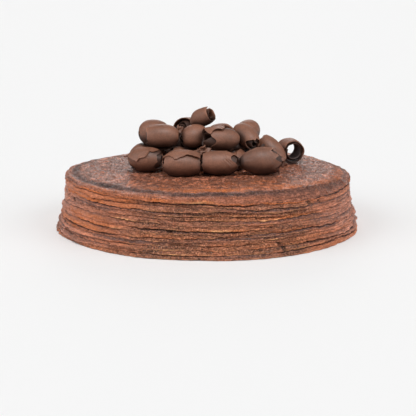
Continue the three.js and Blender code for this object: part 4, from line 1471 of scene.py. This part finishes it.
class CREPECAKE_OT_stage(bpy.types.Operator):
    """Sets the pale floor, the soft lights and the camera"""

    bl_idname = "crepecake.stage"
    bl_label = "Floor, lights and camera"

    def execute(self, context):
        settings = context.scene.crepecake_stage
        scene = context.scene
        clear_selection()
        bpy.ops.mesh.primitive_plane_add(size=FLOOR_SIZE, location=(0, 0, 0))
        floor = bpy.context.active_object
        floor.name = "floor"
        pale, shader = plain_material("floor")
        shader.inputs["Base Color"].default_value = (*settings.floor, 1)
        shader.inputs["Roughness"].default_value = 0.9
        shader.inputs["Specular IOR Level"].default_value = 0.1
        floor.data.materials.append(pale)
        for name, heading, height, power, softness in LIGHTS:
            bpy.ops.object.light_add(type="SUN", location=(0, 0, 1))
            light = bpy.context.active_object
            light.name = name
            light.data.energy = power
            light.data.angle = math.radians(softness)
            tilt = math.radians(90 - height)
            light.rotation_euler = (tilt, 0, math.radians(heading))
        world = bpy.data.worlds.new("studio")
        world.use_nodes = True
        surround = world.node_tree.nodes["Background"].inputs
        surround["Color"].default_value = (1, 1, 1, 1)
        surround["Strength"].default_value = SURROUND
        scene.world = world
        scene.view_settings.view_transform = "Standard"
        bpy.ops.object.camera_add(
            location=settings.eye, rotation=(math.pi / 2 - settings.pitch, 0, 0)
        )
        camera = bpy.context.active_object
        camera.data.lens = settings.lens
        camera.data.sensor_width = SENSOR
        camera.data.clip_end = 200
        scene.camera = camera
        return {"FINISHED"}


class CREPECAKE_PT_panel(bpy.types.Panel):
    """Lists the steps in their order"""

    bl_label = "Crepe cake"
    bl_idname = "CREPECAKE_PT_panel"
    bl_space_type = "VIEW_3D"
    bl_region_type = "UI"
    bl_category = "Crepe cake"

    def draw(self, context):
        for holder in ("crepecake_crepes", "crepecake_curls", "crepecake_stage"):
            settings = getattr(context.scene, holder)
            for name in settings.__annotations__:
                self.layout.prop(settings, name)
            self.layout.operator(f"crepecake.{holder.split('_')[1]}")


CLASSES = (
    CrepeSettings,
    CurlSettings,
    StageSettings,
    CREPECAKE_OT_crepes,
    CREPECAKE_OT_curls,
    CREPECAKE_OT_stage,
    CREPECAKE_PT_panel,
)


def register():
    for each in CLASSES:
        bpy.utils.register_class(each)
    bpy.types.Scene.crepecake_crepes = bpy.props.PointerProperty(type=CrepeSettings)
    bpy.types.Scene.crepecake_curls = bpy.props.PointerProperty(type=CurlSettings)
    bpy.types.Scene.crepecake_stage = bpy.props.PointerProperty(type=StageSettings)


def unregister():
    del bpy.types.Scene.crepecake_stage
    del bpy.types.Scene.crepecake_curls
    del bpy.types.Scene.crepecake_crepes
    for each in reversed(CLASSES):
        bpy.utils.unregister_class(each)


def main():
    register()
    bpy.ops.crepecake.crepes()
    bpy.ops.crepecake.curls()
    bpy.ops.crepecake.stage()


if __name__ == "__main__":
    main()
